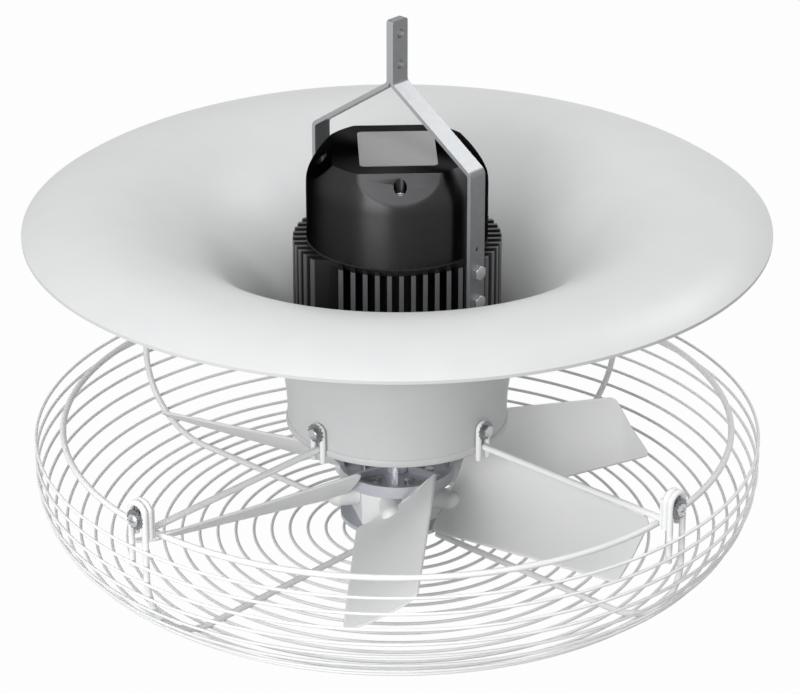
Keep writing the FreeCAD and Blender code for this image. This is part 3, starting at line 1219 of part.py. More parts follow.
def hub_plate():
    """Aluminium dish with a turned rim and thin ribs to the middle."""
    blank = turned("hub_plate_dish", [
        (SHAFT_HOLE, HUB_TOP),
        (PLATE_OUT, HUB_TOP),
        (PLATE_OUT, PLATE_TOP),
        (f"{PLATE_OUT} - plate_wall", PLATE_TOP),
        (f"{PLATE_OUT} - plate_wall", f"{HUB_TOP} + plate_floor"),
        (SHAFT_HOLE, f"{HUB_TOP} + plate_floor"),
    ])
    ribs = []
    for i in range(BLADES):
        angle = BLADE_START_ANGLE + i * 360 / BLADES
        rib = doc.addObject("Part::Box", f"hub_plate_rib_{i}")
        bind(rib, "Length", f"{PLATE_OUT} - plate_wall / 2 - {SHAFT_RADIUS} - plate_rib_gap")
        bind(rib, "Width", "plate_rib")
        bind(rib, "Height", "plate_height - plate_floor - plate_rib_drop")
        c, s = heading(angle)
        x = f"({SHAFT_RADIUS} + plate_rib_gap) * {c} + plate_rib / 2 * {s}"
        y = f"({SHAFT_RADIUS} + plate_rib_gap) * {s} - plate_rib / 2 * {c}"
        place(rib, x, y, f"{HUB_TOP} + plate_floor", FreeCAD.Rotation(FreeCAD.Vector(0, 0, 1), angle))
        ribs.append(rib)
    holes = []
    for i in range(BLADES):
        x, y = behind(HUB_SCREW_RING, BLADE_START_ANGLE + (i + 0.5) * 360 / BLADES)
        deep, base = f"plate_floor + 2 * {OVER}", f"{HUB_TOP} - {OVER}"
        holes.append(cylinder(f"hub_plate_hole_{i}", "hub_screw / 2 + fit_gap", deep, x, y, base))
    pieces.append(cut("hub_plate", fused("hub_plate_ribbed", [blank] + ribs), holes))


hub_plate()


def hub_body():
    """Six-sided hub with a round socket for each blade root, a keyway and a recess for its bolt."""
    turn = BLADE_START_ANGLE - HUB_TURN + 180 / BLADES
    blank = hexagon("hub_body_blank", f"2 * {HUB_OUT}", "hub_height", z=HUB_BOTTOM, turn=turn)
    tools = [
        cylinder("hub_bore", SHAFT_HOLE, f"hub_height + {OVER}", z=HUB_BOTTOM),
        cylinder("hub_recess_tool", RECESS, f"hub_recess + {OVER}", z=f"{HUB_BOTTOM} - {OVER}"),
        box("hub_keyway", "key_height", "key_width + 2 * fit_gap", f"hub_height + {OVER}", key_start,
            "-key_width / 2 - fit_gap", HUB_BOTTOM),
    ]
    for i in range(BLADES):
        angle = BLADE_START_ANGLE + i * 360 / BLADES
        c, s = heading(angle)
        x, y = behind(f"{STUB_START} - socket_fit", angle)
        socket = "stub_diameter / 2 + socket_fit"
        tools.append(cylinder(f"blade_socket_{i}", socket, HUB_OUT, x, y, SOCKET, (c, s, 0)))
        x, y = behind(HUB_SCREW_RING, angle + 180 / BLADES)
        deep, base = f"hub_height + 2 * {OVER}", f"{HUB_BOTTOM} - {OVER}"
        tools.append(cylinder(f"hub_hole_{i}", "hub_screw / 2 + fit_gap", deep, x, y, base))
    pieces.append(cut("hub_body", blank, tools))


hub_body()


def hub_lower_plate():
    """Flat disc under the hub, which the screws of the upper plate draw up against it."""
    wide = f"({PLATE_OUT} - lower_plate_inset)"
    disc = cylinder("hub_lower_disc", wide, "lower_plate_thick", z=LOWER_PLATE)
    deep, base = f"lower_plate_thick + 2 * {OVER}", f"{LOWER_PLATE} - {OVER}"
    tools = [cylinder("hub_lower_recess", RECESS, deep, z=base)]
    for i in range(BLADES):
        x, y = behind(HUB_SCREW_RING, BLADE_START_ANGLE + (i + 0.5) * 360 / BLADES)
        tools.append(cylinder(f"hub_lower_hole_{i}", "hub_screw / 2 + fit_gap", deep, x, y, base))
    pieces.append(cut("hub_lower_plate", disc, tools))


hub_lower_plate()

screws = []
for i in range(BLADES):
    x, y = behind(HUB_SCREW_RING, BLADE_START_ANGLE + (i + 0.5) * 360 / BLADES)
    seat = f"({HUB_TOP} + plate_floor)"
    tip = LOWER_PLATE
    shank = cylinder(f"hub_screw_shank_{i}", "hub_screw / 2", f"{seat} - {tip}", x, y, tip)
    wide, high = f"{HEAD_WIDTH} * hub_screw", f"hub_screw * {HEAD_HEIGHT}"
    head = cylinder(f"hub_screw_head_{i}", wide, high, x, y, seat)
    screws.append(fused(f"hub_screw_{i}", [shank, head]))
group("hub_screws", screws)

washer_base = f"({HUB_SEAT} - hub_washer_thick)"
washer_bore = "hub_bolt / 2 + bolt_play"
pieces.append(turned("hub_bolt_washer", tube(washer_bore, "hub_washer / 2", HUB_SEAT, washer_base)))
head_high = f"(hub_bolt * {HEAD_HEIGHT})"
bolt_head = hexagon("hub_bolt_head", f"{HEX_WIDTH} * hub_bolt", head_high, z=f"{washer_base} - {head_high}")
bolt_length = f"{SHAFT_END} + hub_bolt_depth - {washer_base}"
bolt_shank = cylinder("hub_bolt_shank", "hub_bolt / 2", bolt_length, z=washer_base)
pieces.append(fused("hub_bolt", [bolt_head, bolt_shank]))


# Blades: a hollow, twisted and tapering sheet on a conical root that sits in the hub
def blade_section(body, name, share, inset):
    """Outline of the sheet at a share of the blade's span: two arcs about one centre above it, a thickness
    apart, whose ends are drawn in by an inset."""
    radius, chord, pitch, hollow, y, z = (
        f"({root} + ({share}) * ({tip} - ({root})))" for root, tip in (
            (BLADE_ROOT, "propeller_diameter / 2"),
            ("blade_root_chord", "blade_tip_chord"),
            ("blade_root_pitch", "blade_tip_pitch"),
            ("blade_root_camber", "blade_tip_camber"),
            ("0", "-blade_tip_sweep"),
            (f"{SOCKET} + blade_root_rise", f"{HUB_TOP} - blade_tip_drop"),
        )
    )
    curve = f"(({chord} ^ 2 / 4 + {hollow} ^ 2) / (2 * {hollow}))"
    sine = f"(({chord} / 2 - {inset}) / {curve})"
    corners = []
    for end, side, turn in (("-", "+", 1), ("+", "+", None), ("+", "-", -1), ("-", "-", None)):
        arc = f"({curve} {side} blade_thick / 2)"
        reach = f"{arc} * {sine}"
        lift = f"({curve} - {hollow} - {arc} * sqrt(1 - {sine} ^ 2))"
        corner = (
            f"{y} - sin({pitch}) * {lift} {end} {reach} * cos({pitch})",
            f"{z} + cos({pitch}) * {lift} {end} {reach} * sin({pitch})",
        )
        corners.append(corner + (arc, turn) if turn else corner)
    sketch = new_sketch(body, name, "YZ_Plane", radius)
    add_loop(sketch, corners)
    return sketch


def blade(label, angle):
    """A twisted, hollow blade with rounded corners on a round root that plugs into the hub body."""
    body = new_body(label)
    span = f"(propeller_diameter / 2 - ({BLADE_ROOT}))"
    sections = []
    for end, base, sign, steps in (("root", 0, "+", CORNER_STEPS), ("tip", 1, "-", CORNER_STEPS[::-1])):
        for step in steps:
            along = f"blade_corner * (1 - cos({step}))"
            inset = f"blade_corner * (1 - sin({step}))"
            share = f"{base} {sign} {along} / {span}"
            sections.append(blade_section(body, f"{label}_{end}_{step}", share, inset))
    sheet_loft = body.newObject("PartDesign::AdditiveLoft", f"{label}_sheet")
    sheet_loft.Profile = sections[0]
    sheet_loft.Sections = sections[1:]
    sheet_loft.Ruled = True
    stub = new_sketch(body, f"{label}_stub_profile", "XZ_Plane", "stub_shift", SOCKET)
    half = "root_end / 2"
    add_loop(stub, [
        (STUB_START, "0"),
        (STUB_END, "0", half, 1),
        (f"{STUB_END} - {half}", half),
        (ROOT_BASE, "root_diameter / 2"),
        (ROOT_BASE, "stub_diameter / 2"),
        (STUB_START, "stub_diameter / 2"),
    ])
    spin(body, f"{label}_stub", stub, "H_Axis")
    body.Placement = FreeCAD.Placement(FreeCAD.Vector(), FreeCAD.Rotation(FreeCAD.Vector(0, 0, 1), angle))
    pieces.append(body)


for number in range(BLADES):
    blade(f"blade_{number + 1}", BLADE_START_ANGLE + number * 360 / BLADES)

doc.recompute()

problems = [item.Label for item in doc.Objects if "Invalid" in item.State or "Error" in item.State]
for item in pieces:
    if item.Shape.isNull() or not item.Shape.Solids:
        problems.append(item.Label)
for item in doc.Objects:
    shape = getattr(item, "Shape", None)
    if shape is not None and shape.Solids and not shape.isValid():
        problems.append(item.Label)
if problems:
    raise RuntimeError(f"these objects failed: {problems}")

os.makedirs("parts", exist_ok=True)
for item in pieces:
    item.Shape.exportStep(f"parts/{item.Label}.step")
print(f"{len(pieces)} sub-parts written")
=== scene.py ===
import math

import bmesh
import bpy
import numpy as np
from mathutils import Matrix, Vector


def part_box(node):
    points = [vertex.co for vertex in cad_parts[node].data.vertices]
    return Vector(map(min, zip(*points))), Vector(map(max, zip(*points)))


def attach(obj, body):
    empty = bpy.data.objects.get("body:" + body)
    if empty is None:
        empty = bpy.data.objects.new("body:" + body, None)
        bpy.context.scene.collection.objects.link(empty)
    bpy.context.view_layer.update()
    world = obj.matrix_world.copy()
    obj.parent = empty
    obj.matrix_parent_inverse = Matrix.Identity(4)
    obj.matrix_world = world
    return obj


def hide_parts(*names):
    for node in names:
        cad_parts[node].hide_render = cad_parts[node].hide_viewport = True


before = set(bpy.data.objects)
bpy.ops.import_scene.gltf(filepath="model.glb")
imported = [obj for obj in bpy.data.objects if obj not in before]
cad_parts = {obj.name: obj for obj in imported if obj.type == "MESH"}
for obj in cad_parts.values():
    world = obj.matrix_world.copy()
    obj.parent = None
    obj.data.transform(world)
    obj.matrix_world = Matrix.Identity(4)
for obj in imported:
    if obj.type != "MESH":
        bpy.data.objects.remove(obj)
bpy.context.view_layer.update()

# Hanging bracket: two bent flat bars that stand back to back in the lug with its two holes, run outwards
# to the motor's width and turn down into the legs. Zinc-plated steel bar of 20 by 4 mm, punched and bent
# cold, with slightly rounded edges.
MM = 0.001
MERGE_WITHIN = 1e-6
FLAT_WITHIN = math.radians(0.5)
ROUNDED_FROM = math.radians(30)
BAR_EDGE = 0.5
ZINC_MOTTLE = 6.0
ZINC_GRAIN = 0.8


def linear(code):
    """Linear colour of an sRGB hex value: c / 12.92 up to 0.04045, and above it ((c + 0.055) / 1.055)
    to the power 2.4."""
    tone = np.array([int(code[i:i + 2], 16) for i in (0, 2, 4)]) / 255
    light = np.where(tone <= 0.04045, tone / 12.92, ((tone + 0.055) / 1.055) ** 2.4)
    return (*light.tolist(), 1.0)


def add(tree, kind, inputs, **settings):
    """Add a node: settings are its own properties, inputs a value or another node's output for each
    socket."""
    node = tree.nodes.new("ShaderNode" + kind)
    for key, value in settings.items():
        setattr(node, key, value)
    for key, value in inputs.items():
        if isinstance(value, bpy.types.NodeSocket):
            tree.links.new(value, node.inputs[key])
        else:
            node.inputs[key].default_value = value
    return node


def new_finish(name, metallic, roughness):
    """An empty finish: the material, its node tree, its shader and the coordinates of the piece."""
    material = bpy.data.materials.new(name)
    material.use_nodes = True
    tree = material.node_tree
    shader = tree.nodes["Principled BSDF"]
    shader.inputs["Metallic"].default_value = metallic
    shader.inputs["Roughness"].default_value = roughness
    return material, tree, shader, add(tree, "TexCoord", {}).outputs["Object"]


def zinc_plated_bar():
    """Satin zinc over rolled bar: a soft grey that is part mirror, with a faint cloudiness and a fine
    rolled grain on the wide faces, and a painted highlight: a lighter grey on the faces that face along Y,
    the narrow edges."""
    material, tree, shader, place = new_finish("zinc_plated_bar", metallic=0.5, roughness=0.34)
    cloud = add(tree, "TexNoise", {"Vector": place, "Scale": 1 / (ZINC_MOTTLE * MM), "Detail": 3.0})
    rolled = add(tree, "Mix", {0: cloud.outputs["Fac"], 6: linear("727476"), 7: linear("808284")},
                 data_type="RGBA")
    # Painted highlight: faces whose normal lies along Y, the bar's narrow edges, are mixed to a lighter
    # grey.
    facing = add(tree, "SeparateXYZ", {0: add(tree, "NewGeometry", {}).outputs["Normal"]})
    edge = add(tree, "Math", {0: facing.outputs["Y"]}, operation="ABSOLUTE")
    painted_edge_highlight = add(tree, "MapRange", {"Value": edge.outputs[0], "From Min": 0.5, "From Max": 0.9})
    tone = add(tree, "Mix", {0: painted_edge_highlight.outputs["Result"], 6: rolled.outputs[2], 7: linear("a2a4a6")},
               data_type="RGBA")
    grain = add(tree, "TexNoise", {"Vector": place, "Scale": 1 / (ZINC_GRAIN * MM), "Detail": 2.0})
    bump = add(tree, "Bump", {"Height": grain.outputs["Fac"], "Strength": 0.08, "Distance": 0.1 * MM})
    tree.links.new(tone.outputs[2], shader.inputs["Base Color"])
    tree.links.new(bump.outputs["Normal"], shader.inputs["Normal"])
    return material


def from_cad(node, edge, segments=2):
    """A copy of a CAD node with its loose triangles merged, flat ones joined and its sharp edges
    rounded."""
    shape = bmesh.new()
    shape.from_mesh(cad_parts[node].data)
    bmesh.ops.remove_doubles(shape, verts=shape.verts, dist=MERGE_WITHIN)
    bmesh.ops.dissolve_limit(shape, angle_limit=FLAT_WITHIN, verts=shape.verts, edges=shape.edges)
    mesh = bpy.data.meshes.new(node + ".dressed")
    shape.to_mesh(mesh)
    shape.free()
    mesh.shade_smooth()
    mesh.set_sharp_from_angle(angle=ROUNDED_FROM)
    piece = bpy.data.objects.new(node + ".dressed", mesh)
    bpy.context.collection.objects.link(piece)
    rounding = piece.modifiers.new("rounded_edges", "BEVEL")
    rounding.limit_method = "ANGLE"
    rounding.angle_limit = ROUNDED_FROM
    rounding.width = edge * MM
    rounding.segments = segments
    rounding.harden_normals = True
    return piece


def fit(piece, finish, body, slot, *nodes):
    """Give a piece its finish and the body that it moves with, and hide the CAD nodes it stands for. The
    slot is not used.
    """
    piece.data.materials.clear()
    piece.data.materials.append(finish)
    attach(piece, body)
    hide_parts(*nodes)


zinc = zinc_plated_bar()
for strap in ("strap_right", "strap_left"):
    fit(from_cad(strap, BAR_EDGE), zinc, "frame", "zinc_plated_bar", strap)

# Leg bolts: two M8 hexagon bolts through each leg into a tapped boss on the motor's side.
# Zinc-plated steel, cold headed, with a chamfer round the top of the hexagon.
LEG_BOLT_LEVELS = (-194.0, -223.5)
LEG_FACE = 100.0
LEG_BOLT = {"across": 13.0, "height": 5.3, "shank": 4.0, "length": 18.0}
BOLT_STEPS = 60
CHAMFER_SHARE = 0.47
STEEL_MOTTLE = 3.0


def grid(points, loop=False):
    """Vertices and quads of a grid whose columns run round. Its rows run round too, or end in a pole in
    the middle of the first and the last row."""
    if not loop:
        columns = points.shape[1]
        first_pole = np.repeat(points[:1].mean(axis=1, keepdims=True), columns, axis=1)
        last_pole = np.repeat(points[-1:].mean(axis=1, keepdims=True), columns, axis=1)
        points = np.concatenate([first_pole, points, last_pole])
    rows, columns = points.shape[:2]
    index = np.arange(rows * columns).reshape(rows, columns)
    index = np.hstack([index, index[:, :1]])
    if loop:
        index = np.vstack([index, index[:1]])
    quads = np.stack([index[:-1, :-1], index[:-1, 1:], index[1:, 1:], index[1:, :-1]], axis=-1)
    return points.reshape(-1, 3), quads.reshape(-1, 4)


def made(name, grids, sharp=35):
    """One piece from grids in millimetres, doubles merged, faces outwards, smooth up to `sharp` degrees."""
    points = np.vstack([vertices for vertices, faces in grids]) * MM
    starts = np.cumsum([0] + [len(vertices) for vertices, faces in grids])
    quads = np.vstack([faces + start for start, (vertices, faces) in zip(starts, grids)])
    mesh = bpy.data.meshes.new(name)
    mesh.from_pydata(points.tolist(), [], quads.tolist())
    shape = bmesh.new()
    shape.from_mesh(mesh)
    bmesh.ops.remove_doubles(shape, verts=shape.verts, dist=MERGE_WITHIN)
    bmesh.ops.recalc_face_normals(shape, faces=shape.faces)
    shape.to_mesh(mesh)
    shape.free()
    mesh.shade_smooth()
    mesh.set_sharp_from_angle(angle=math.radians(sharp))
    piece = bpy.data.objects.new(name, mesh)
    bpy.context.collection.objects.link(piece)
    return piece


def hex_bolt(across, height, shank, length):
    """Bolt along +Z with its seat at 0. On a grid of levels and angles the head's radius is the smaller
    of the hexagon, half the width across flats over the cosine of the angle from the middle of a side,
    and a cone of 30 degrees."""
    angle = np.linspace(0, 2 * np.pi, BOLT_STEPS, endpoint=False)
    hexagon = across / 2 / np.cos((angle + np.pi / 6) % (np.pi / 3) - np.pi / 6)
    level = np.array([0, 0.1, 0.5, 0.7, 0.8, 0.87, 0.94, 1.0]) * height
    cone = CHAMFER_SHARE * across + (height - level) * math.sqrt(3)
    head = np.minimum(hexagon, cone[:, None])
    level = np.concatenate([[-length, 0], level])[:, None]
    radius = np.concatenate([np.full((2, BOLT_STEPS), shank), head])
    return np.stack([radius * np.cos(angle), radius * np.sin(angle), level + 0 * radius], axis=-1)


def outward(points, reach, level):
    """Points made along +Z laid along +X, with their origin at that distance from the axis and level."""
    return np.stack([reach + points[..., 2], points[..., 0], level + points[..., 1]], axis=-1)


def turned(points, degrees):
    """Points turned about the fan's axis."""
    cosine, sine = math.cos(math.radians(degrees)), math.sin(math.radians(degrees))
    return points @ np.array([[cosine, sine, 0], [-sine, cosine, 0], [0, 0, 1]])


def zinc_plated_steel(name, dark, light, roughness):
    """Zinc over headed or stamped steel: a clear mirror with a soft blur and a little unevenness from
    plating."""
    material, tree, shader, place = new_finish(name, metallic=0.85, roughness=roughness)
    cloud = add(tree, "TexNoise", {"Vector": place, "Scale": 1 / (STEEL_MOTTLE * MM), "Detail": 2.0})
    tone = add(tree, "Mix", {0: cloud.outputs["Fac"], 6: linear(dark), 7: linear(light)},
               data_type="RGBA")
    tree.links.new(tone.outputs[2], shader.inputs["Base Color"])
    return material


bright_steel = zinc_plated_steel("zinc_plated_steel", "b4b6b9", "cbcdd0", 0.24)
bolts = [grid(turned(outward(hex_bolt(**LEG_BOLT), LEG_FACE, level), side))
         for side in (0, 180) for level in LEG_BOLT_LEVELS]
fit(made("leg_bolts", bolts), bright_steel, "frame", "dark_fastener", "strap_bolts")

# Motor housing: a finned aluminium casting with a boss on either side for the bracket's legs and fins in
# four groups, cooled by the air that the fan draws, and its lower bearing shield.
# Painted black, half gloss, over the fine pebble of the casting.
CASTING_EDGE = 0.6
CASTING_PEBBLE = 1.2
FIN_TIP = 98.0
# Depth below the fin tips that is painted a lighter grey, a painted highlight.
TIP_HIGHLIGHT_DEPTH = 1.2


def black_painted_casting():
    """Half-gloss black paint on a sand casting: nearly black faces with a fine pebble that breaks up the
    highlights, and a painted highlight on the fin tips: a lighter grey that stands in for the light they
    catch."""
    material, tree, shader, place = new_finish("black_painted_casting", metallic=0.0, roughness=0.38)
    shader.inputs["Specular IOR Level"].default_value = 0.4
    pebble = add(tree, "TexNoise", {"Vector": place, "Scale": 1 / (CASTING_PEBBLE * MM), "Detail": 3.0})
    tone = add(tree, "Mix", {0: pebble.outputs["Fac"], 6: linear("101011"), 7: linear("1c1c1d")},
               data_type="RGBA")
    # Painted highlight: beyond the fin tips' radius less a small depth, the black is mixed to a lighter
    # grey for the light the tips catch.
    level = add(tree, "VectorMath", {0: place, 1: (1, 1, 0)}, operation="MULTIPLY")
    reach = add(tree, "VectorMath", {0: level.outputs["Vector"]}, operation="LENGTH")
    tip_highlight_mask = add(tree, "MapRange", {"Value": reach.outputs["Value"],
                                  "From Min": (FIN_TIP - TIP_HIGHLIGHT_DEPTH) * MM,
                                  "From Max": (FIN_TIP - TIP_HIGHLIGHT_DEPTH / 2) * MM})
    painted_tip_highlight = add(tree, "Mix", {0: tip_highlight_mask.outputs["Result"], 6: tone.outputs[2], 7: linear("58585a")},
               data_type="RGBA")
    bump = add(tree, "Bump", {"Height": pebble.outputs["Fac"], "Strength": 0.12, "Distance": 0.15 * MM})
    tree.links.new(painted_tip_highlight.outputs[2], shader.inputs["Base Color"])
    tree.links.new(bump.outputs["Normal"], shader.inputs["Normal"])
    return material


casting_black = black_painted_casting()
for casting in ("motor_housing", "lower_end_shield"):
    fit(from_cad(casting, CASTING_EDGE), casting_black, "frame", "black_casting", casting)

# Motor cap: the domed cover over the terminals, with four flat facets that each hold a sunk screw.
# Deep-drawn aluminium, brushed round its axis and lacquered black, seated on a rubber gasket.
CAP_EDGE = 0.8
CAP_RIPPLE = 9.0


def black_lacquered_aluminium():
    """Brushed aluminium under black lacquer: black where it mirrors at a flat angle, grey where it faces
    a lamp, and its brush marks, which run round the axis, draw each highlight out along the cap."""
    material, tree, shader, place = new_finish("black_lacquered_aluminium", metallic=1.0, roughness=0.38)
    shader.inputs["Specular Tint"].default_value = linear("000000")
    shader.inputs["Anisotropic"].default_value = 0.85
    shader.inputs["Anisotropic Rotation"].default_value = 0.25
    around = add(tree, "VectorMath", {0: (0, 0, 1), 1: place}, operation="CROSS_PRODUCT")
    ripple = add(tree, "TexNoise", {"Vector": place, "Scale": 1 / (CAP_RIPPLE * MM), "Detail": 1.0})
    tone = add(tree, "Mix", {0: ripple.outputs["Fac"], 6: linear("3a3a3b"), 7: linear("3e3e3f")},
               data_type="RGBA")
    bump = add(tree, "Bump", {"Height": ripple.outputs["Fac"], "Strength": 0.05, "Distance": 0.1 * MM})
    tree.links.new(around.outputs["Vector"], shader.inputs["Tangent"])
    tree.links.new(tone.outputs[2], shader.inputs["Base Color"])
    tree.links.new(bump.outputs["Normal"], shader.inputs["Normal"])
    return material


cap = from_cad("motor_cap", CAP_EDGE, segments=3)
fit(cap, black_lacquered_aluminium(), "frame", "black_cover", "motor_cap")

# Cap screws: four pan-head screws with a cross recess, sunk in the cap's facets and seated on its posts.
# Zinc-plated steel, cold headed.
CAP_SCREW_REACH = 70.5
CAP_SCREW_SEAT = -118.3
FACETS = (45, 135, 225, 315)
CAP_SCREW = {"radius": 5.0, "height": 3.6, "shank": 2.5, "length": 12.0}
SCREW_STEPS = 64


def pan_screw(radius, height, shank, length):
    """Screw along +Z with its seat at 0. The head is a dome, height times the root of 1 - 0.8 (r / R)
    squared, less a cross recess half as deep as the head, which fades out over the edge of its arms."""
    angle = np.linspace(0, 2 * np.pi, SCREW_STEPS, endpoint=False)
    share = np.array([1, 0.97, 0.9, 0.8, 0.7, 0.62, 0.55, 0.48, 0.4, 0.32, 0.25, 0.18, 0.1, 0.04])
    share = share[:, None]
    x, y = share * radius * np.cos(angle), share * radius * np.sin(angle)
    arm, reach, fade = 0.11 * radius, 0.6 * radius, 0.08 * radius
    inside = np.clip((arm - np.minimum(np.abs(x), np.abs(y))) / fade, 0, 1)
    inside = inside * np.clip((reach - np.maximum(np.abs(x), np.abs(y))) / fade, 0, 1)
    z = height * np.sqrt(1 - 0.8 * share ** 2) - 0.5 * height * inside
    dome = np.stack([x, y, z], axis=-1)
    circle = np.stack([np.cos(angle), np.sin(angle), 0 * angle], axis=-1)
    stem = np.stack([shank * circle + [0, 0, -length], shank * circle, radius * circle])
    return np.concatenate([stem, dome])


cap_screw = pan_screw(**CAP_SCREW) + [CAP_SCREW_REACH, 0, CAP_SCREW_SEAT]
screws = [grid(turned(cap_screw, facet)) for facet in FACETS]
fit(made("cap_screws.dressed", screws), bright_steel, "frame", "bright_fastener", "cap_screws")

# Cap plate: a bare grey plate on the flat top of the cap, held by its own glue.
# Anodised aluminium sheet, 0.6 mm, brushed at a slant to its sides.
PLATE = {"inner": -36.0, "outer": 36.0, "half": 43.0, "corner": 4.5}
PLATE_TURN = 45.0
PLATE_CORNER_STEP = 15
BRUSH_LINE = 0.5
BRUSH_STRETCH = 0.03


def rounded_plate(inner, outer, half, foot, top, corner):
    """A flat plate: a rectangle with rounded corners in plan, carried from its foot to its top."""
    turn = np.radians(np.arange(0, 360, PLATE_CORNER_STEP) + PLATE_CORNER_STEP / 2)
    straight = (outer - inner) / 2 - corner
    x = np.sign(np.cos(turn)) * straight + corner * np.cos(turn) + (inner + outer) / 2
    y = np.sign(np.sin(turn)) * (half - corner) + corner * np.sin(turn)
    level = np.array([foot, top])[:, None]
    return np.stack([x + 0 * level, y + 0 * level, level + 0 * x], axis=-1)


def brushed_anodised_aluminium():
    """Brushed grey sheet: fine lines along the fan's Y axis, at a slant to its sides, drawn wider than
    real brush marks so that they show."""
    material, tree, shader, place = new_finish("brushed_anodised_aluminium", metallic=0.3, roughness=0.45)
    along = add(tree, "Mapping", {"Vector": place, "Scale": (1, BRUSH_STRETCH, 1)})
    lines = add(tree, "TexNoise", {"Vector": along.outputs["Vector"], "Scale": 1 / (BRUSH_LINE * MM),
                                   "Detail": 2.0})
    tone = add(tree, "Mix", {0: lines.outputs["Fac"], 6: linear("858585"), 7: linear("959595")},
               data_type="RGBA")
    tree.links.new(tone.outputs[2], shader.inputs["Base Color"])
    return material


plate_foot, plate_top = (corner[2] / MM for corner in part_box("nameplate"))
plate = turned(rounded_plate(**PLATE, foot=plate_foot, top=plate_top), PLATE_TURN)
plate = made("nameplate.dressed", [grid(plate)])
fit(plate, brushed_anodised_aluminium(), "frame", "plate_grey", "nameplate")

# Cable gland and its nut in the cap's side, the gasket under the cap and the seal round the shaft.
# The gland is moulded black nylon, the gasket and the seal are black rubber.
GLAND_EDGE = 0.5
NYLON_GRAIN = 0.9
RUBBER_GRAIN = 0.6


def black_nylon():
    """Moulded nylon: black with a dull sheen and a fine spark-eroded grain."""
    material, tree, shader, place = new_finish("black_nylon", metallic=0.0, roughness=0.45)
    grain = add(tree, "TexNoise", {"Vector": place, "Scale": 1 / (NYLON_GRAIN * MM), "Detail": 2.0})
    tone = add(tree, "Mix", {0: grain.outputs["Fac"], 6: linear("131313"), 7: linear("1e1e1e")},
               data_type="RGBA")
    bump = add(tree, "Bump", {"Height": grain.outputs["Fac"], "Strength": 0.1, "Distance": 0.05 * MM})
    tree.links.new(tone.outputs[2], shader.inputs["Base Color"])
    tree.links.new(bump.outputs["Normal"], shader.inputs["Normal"])
    return material


def black_rubber():
    """Cut rubber: matt, a shade lighter where it is dusty."""
    material, tree, shader, place = new_finish("black_rubber", metallic=0.0, roughness=0.8)
    dust = add(tree, "TexNoise", {"Vector": place, "Scale": 1 / (RUBBER_GRAIN * MM), "Detail": 4.0})
    tone = add(tree, "Mix", {0: dust.outputs["Fac"], 6: linear("161616"), 7: linear("262626")},
               data_type="RGBA")
    tree.links.new(tone.outputs[2], shader.inputs["Base Color"])
    return material


def paint(finish, *nodes):
    """Give CAD nodes that stay as they are a finish."""
    for node in nodes:
        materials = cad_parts[node].data.materials
        materials.clear()
        materials.append(finish)


nylon = black_nylon()
for gland_piece in ("cable_gland", "gland_nut"):
    fit(from_cad(gland_piece, GLAND_EDGE), nylon, "frame", "black_nylon", gland_piece)
paint(black_rubber(), "cap_gasket", "shaft_seal")

# Inside of the motor: the laminated stator with its winding, the rotor with its cast cage rings, two ball
# bearings, the upper end shield, the terminal block and the run capacitor. They keep the solids' shapes.
WAVE_PERIOD = math.pi / 10
SHEET_PITCH = 1.26
TURN_PITCH = 1.88
TURNING_PITCH = 0.94
GRINDING_PITCH = 1.5
GRINDING_STRETCH = 0.05
SPECKLE = 1.5


def laminated_steel():
    """Stacked steel sheets: dark grey with level lines, drawn wider than real sheets of 0.5 mm so that
    they show. The wave pattern repeats every pi / 10 at scale 1."""
    material, tree, shader, place = new_finish("laminated_steel", metallic=0.7, roughness=0.5)
    sheets = add(tree, "TexWave", {"Vector": place, "Scale": WAVE_PERIOD / (SHEET_PITCH * MM),
                                   "Distortion": 0.3}, bands_direction="Z")
    tone = add(tree, "Mix", {0: sheets.outputs["Fac"], 6: linear("55565a"), 7: linear("84868a")},
               data_type="RGBA")
    tree.links.new(tone.outputs[2], shader.inputs["Base Color"])
    return material


def varnished_copper():
    """Varnished copper wire wound in rings: red-brown turns with dark gaps, drawn wider than the wire so
    that they show."""
    material, tree, shader, place = new_finish("varnished_copper", metallic=0.6, roughness=0.35)
    turns = add(tree, "TexWave", {"Vector": place, "Scale": WAVE_PERIOD / (TURN_PITCH * MM),
                                  "Distortion": 1.5, "Detail": 2.0}, wave_type="RINGS", rings_direction="Z")
    tone = add(tree, "Mix", {0: turns.outputs["Fac"], 6: linear("6e3217"), 7: linear("c0713f")},
               data_type="RGBA")
    tree.links.new(tone.outputs[2], shader.inputs["Base Color"])
    return material


def turned_aluminium():
    """Cast aluminium faced on a lathe: cool grey, half dulled by its oxide, with rings about the axis
    that catch the light in turn, drawn wider than the real feed so that they show."""
    material, tree, shader, place = new_finish("turned_aluminium", metallic=0.5, roughness=0.36)
    rings = add(tree, "TexWave", {"Vector": place, "Scale": WAVE_PERIOD / (TURNING_PITCH * MM),
                                  "Distortion": 0.6, "Detail": 1.0}, wave_type="RINGS", rings_direction="Z")
    tone = add(tree, "Mix", {0: rings.outputs["Fac"], 6: linear("b4b7bf"), 7: linear("c4c7ce")},
               data_type="RGBA")
    bump = add(tree, "Bump", {"Height": rings.outputs["Fac"], "Strength": 0.1, "Distance": 0.05 * MM})
    tree.links.new(tone.outputs[2], shader.inputs["Base Color"])
    tree.links.new(bump.outputs["Normal"], shader.inputs["Normal"])
    return material


def ground_steel(name, dark, light, roughness):
    """Ground steel under a film of oil: bright, part mirror, with level marks of the wheel, drawn wider
    than real ones so that they show."""
    material, tree, shader, place = new_finish(name, metallic=0.6, roughness=roughness)
    flat = add(tree, "Mapping", {"Vector": place, "Scale": (GRINDING_STRETCH, GRINDING_STRETCH, 1)})
    marks = add(tree, "TexNoise", {"Vector": flat.outputs["Vector"], "Scale": 1 / (GRINDING_PITCH * MM),
                                   "Detail": 3.0})
    tone = add(tree, "Mix", {0: marks.outputs["Fac"], 6: linear(dark), 7: linear(light)},
               data_type="RGBA")
    tree.links.new(tone.outputs[2], shader.inputs["Base Color"])
    return material


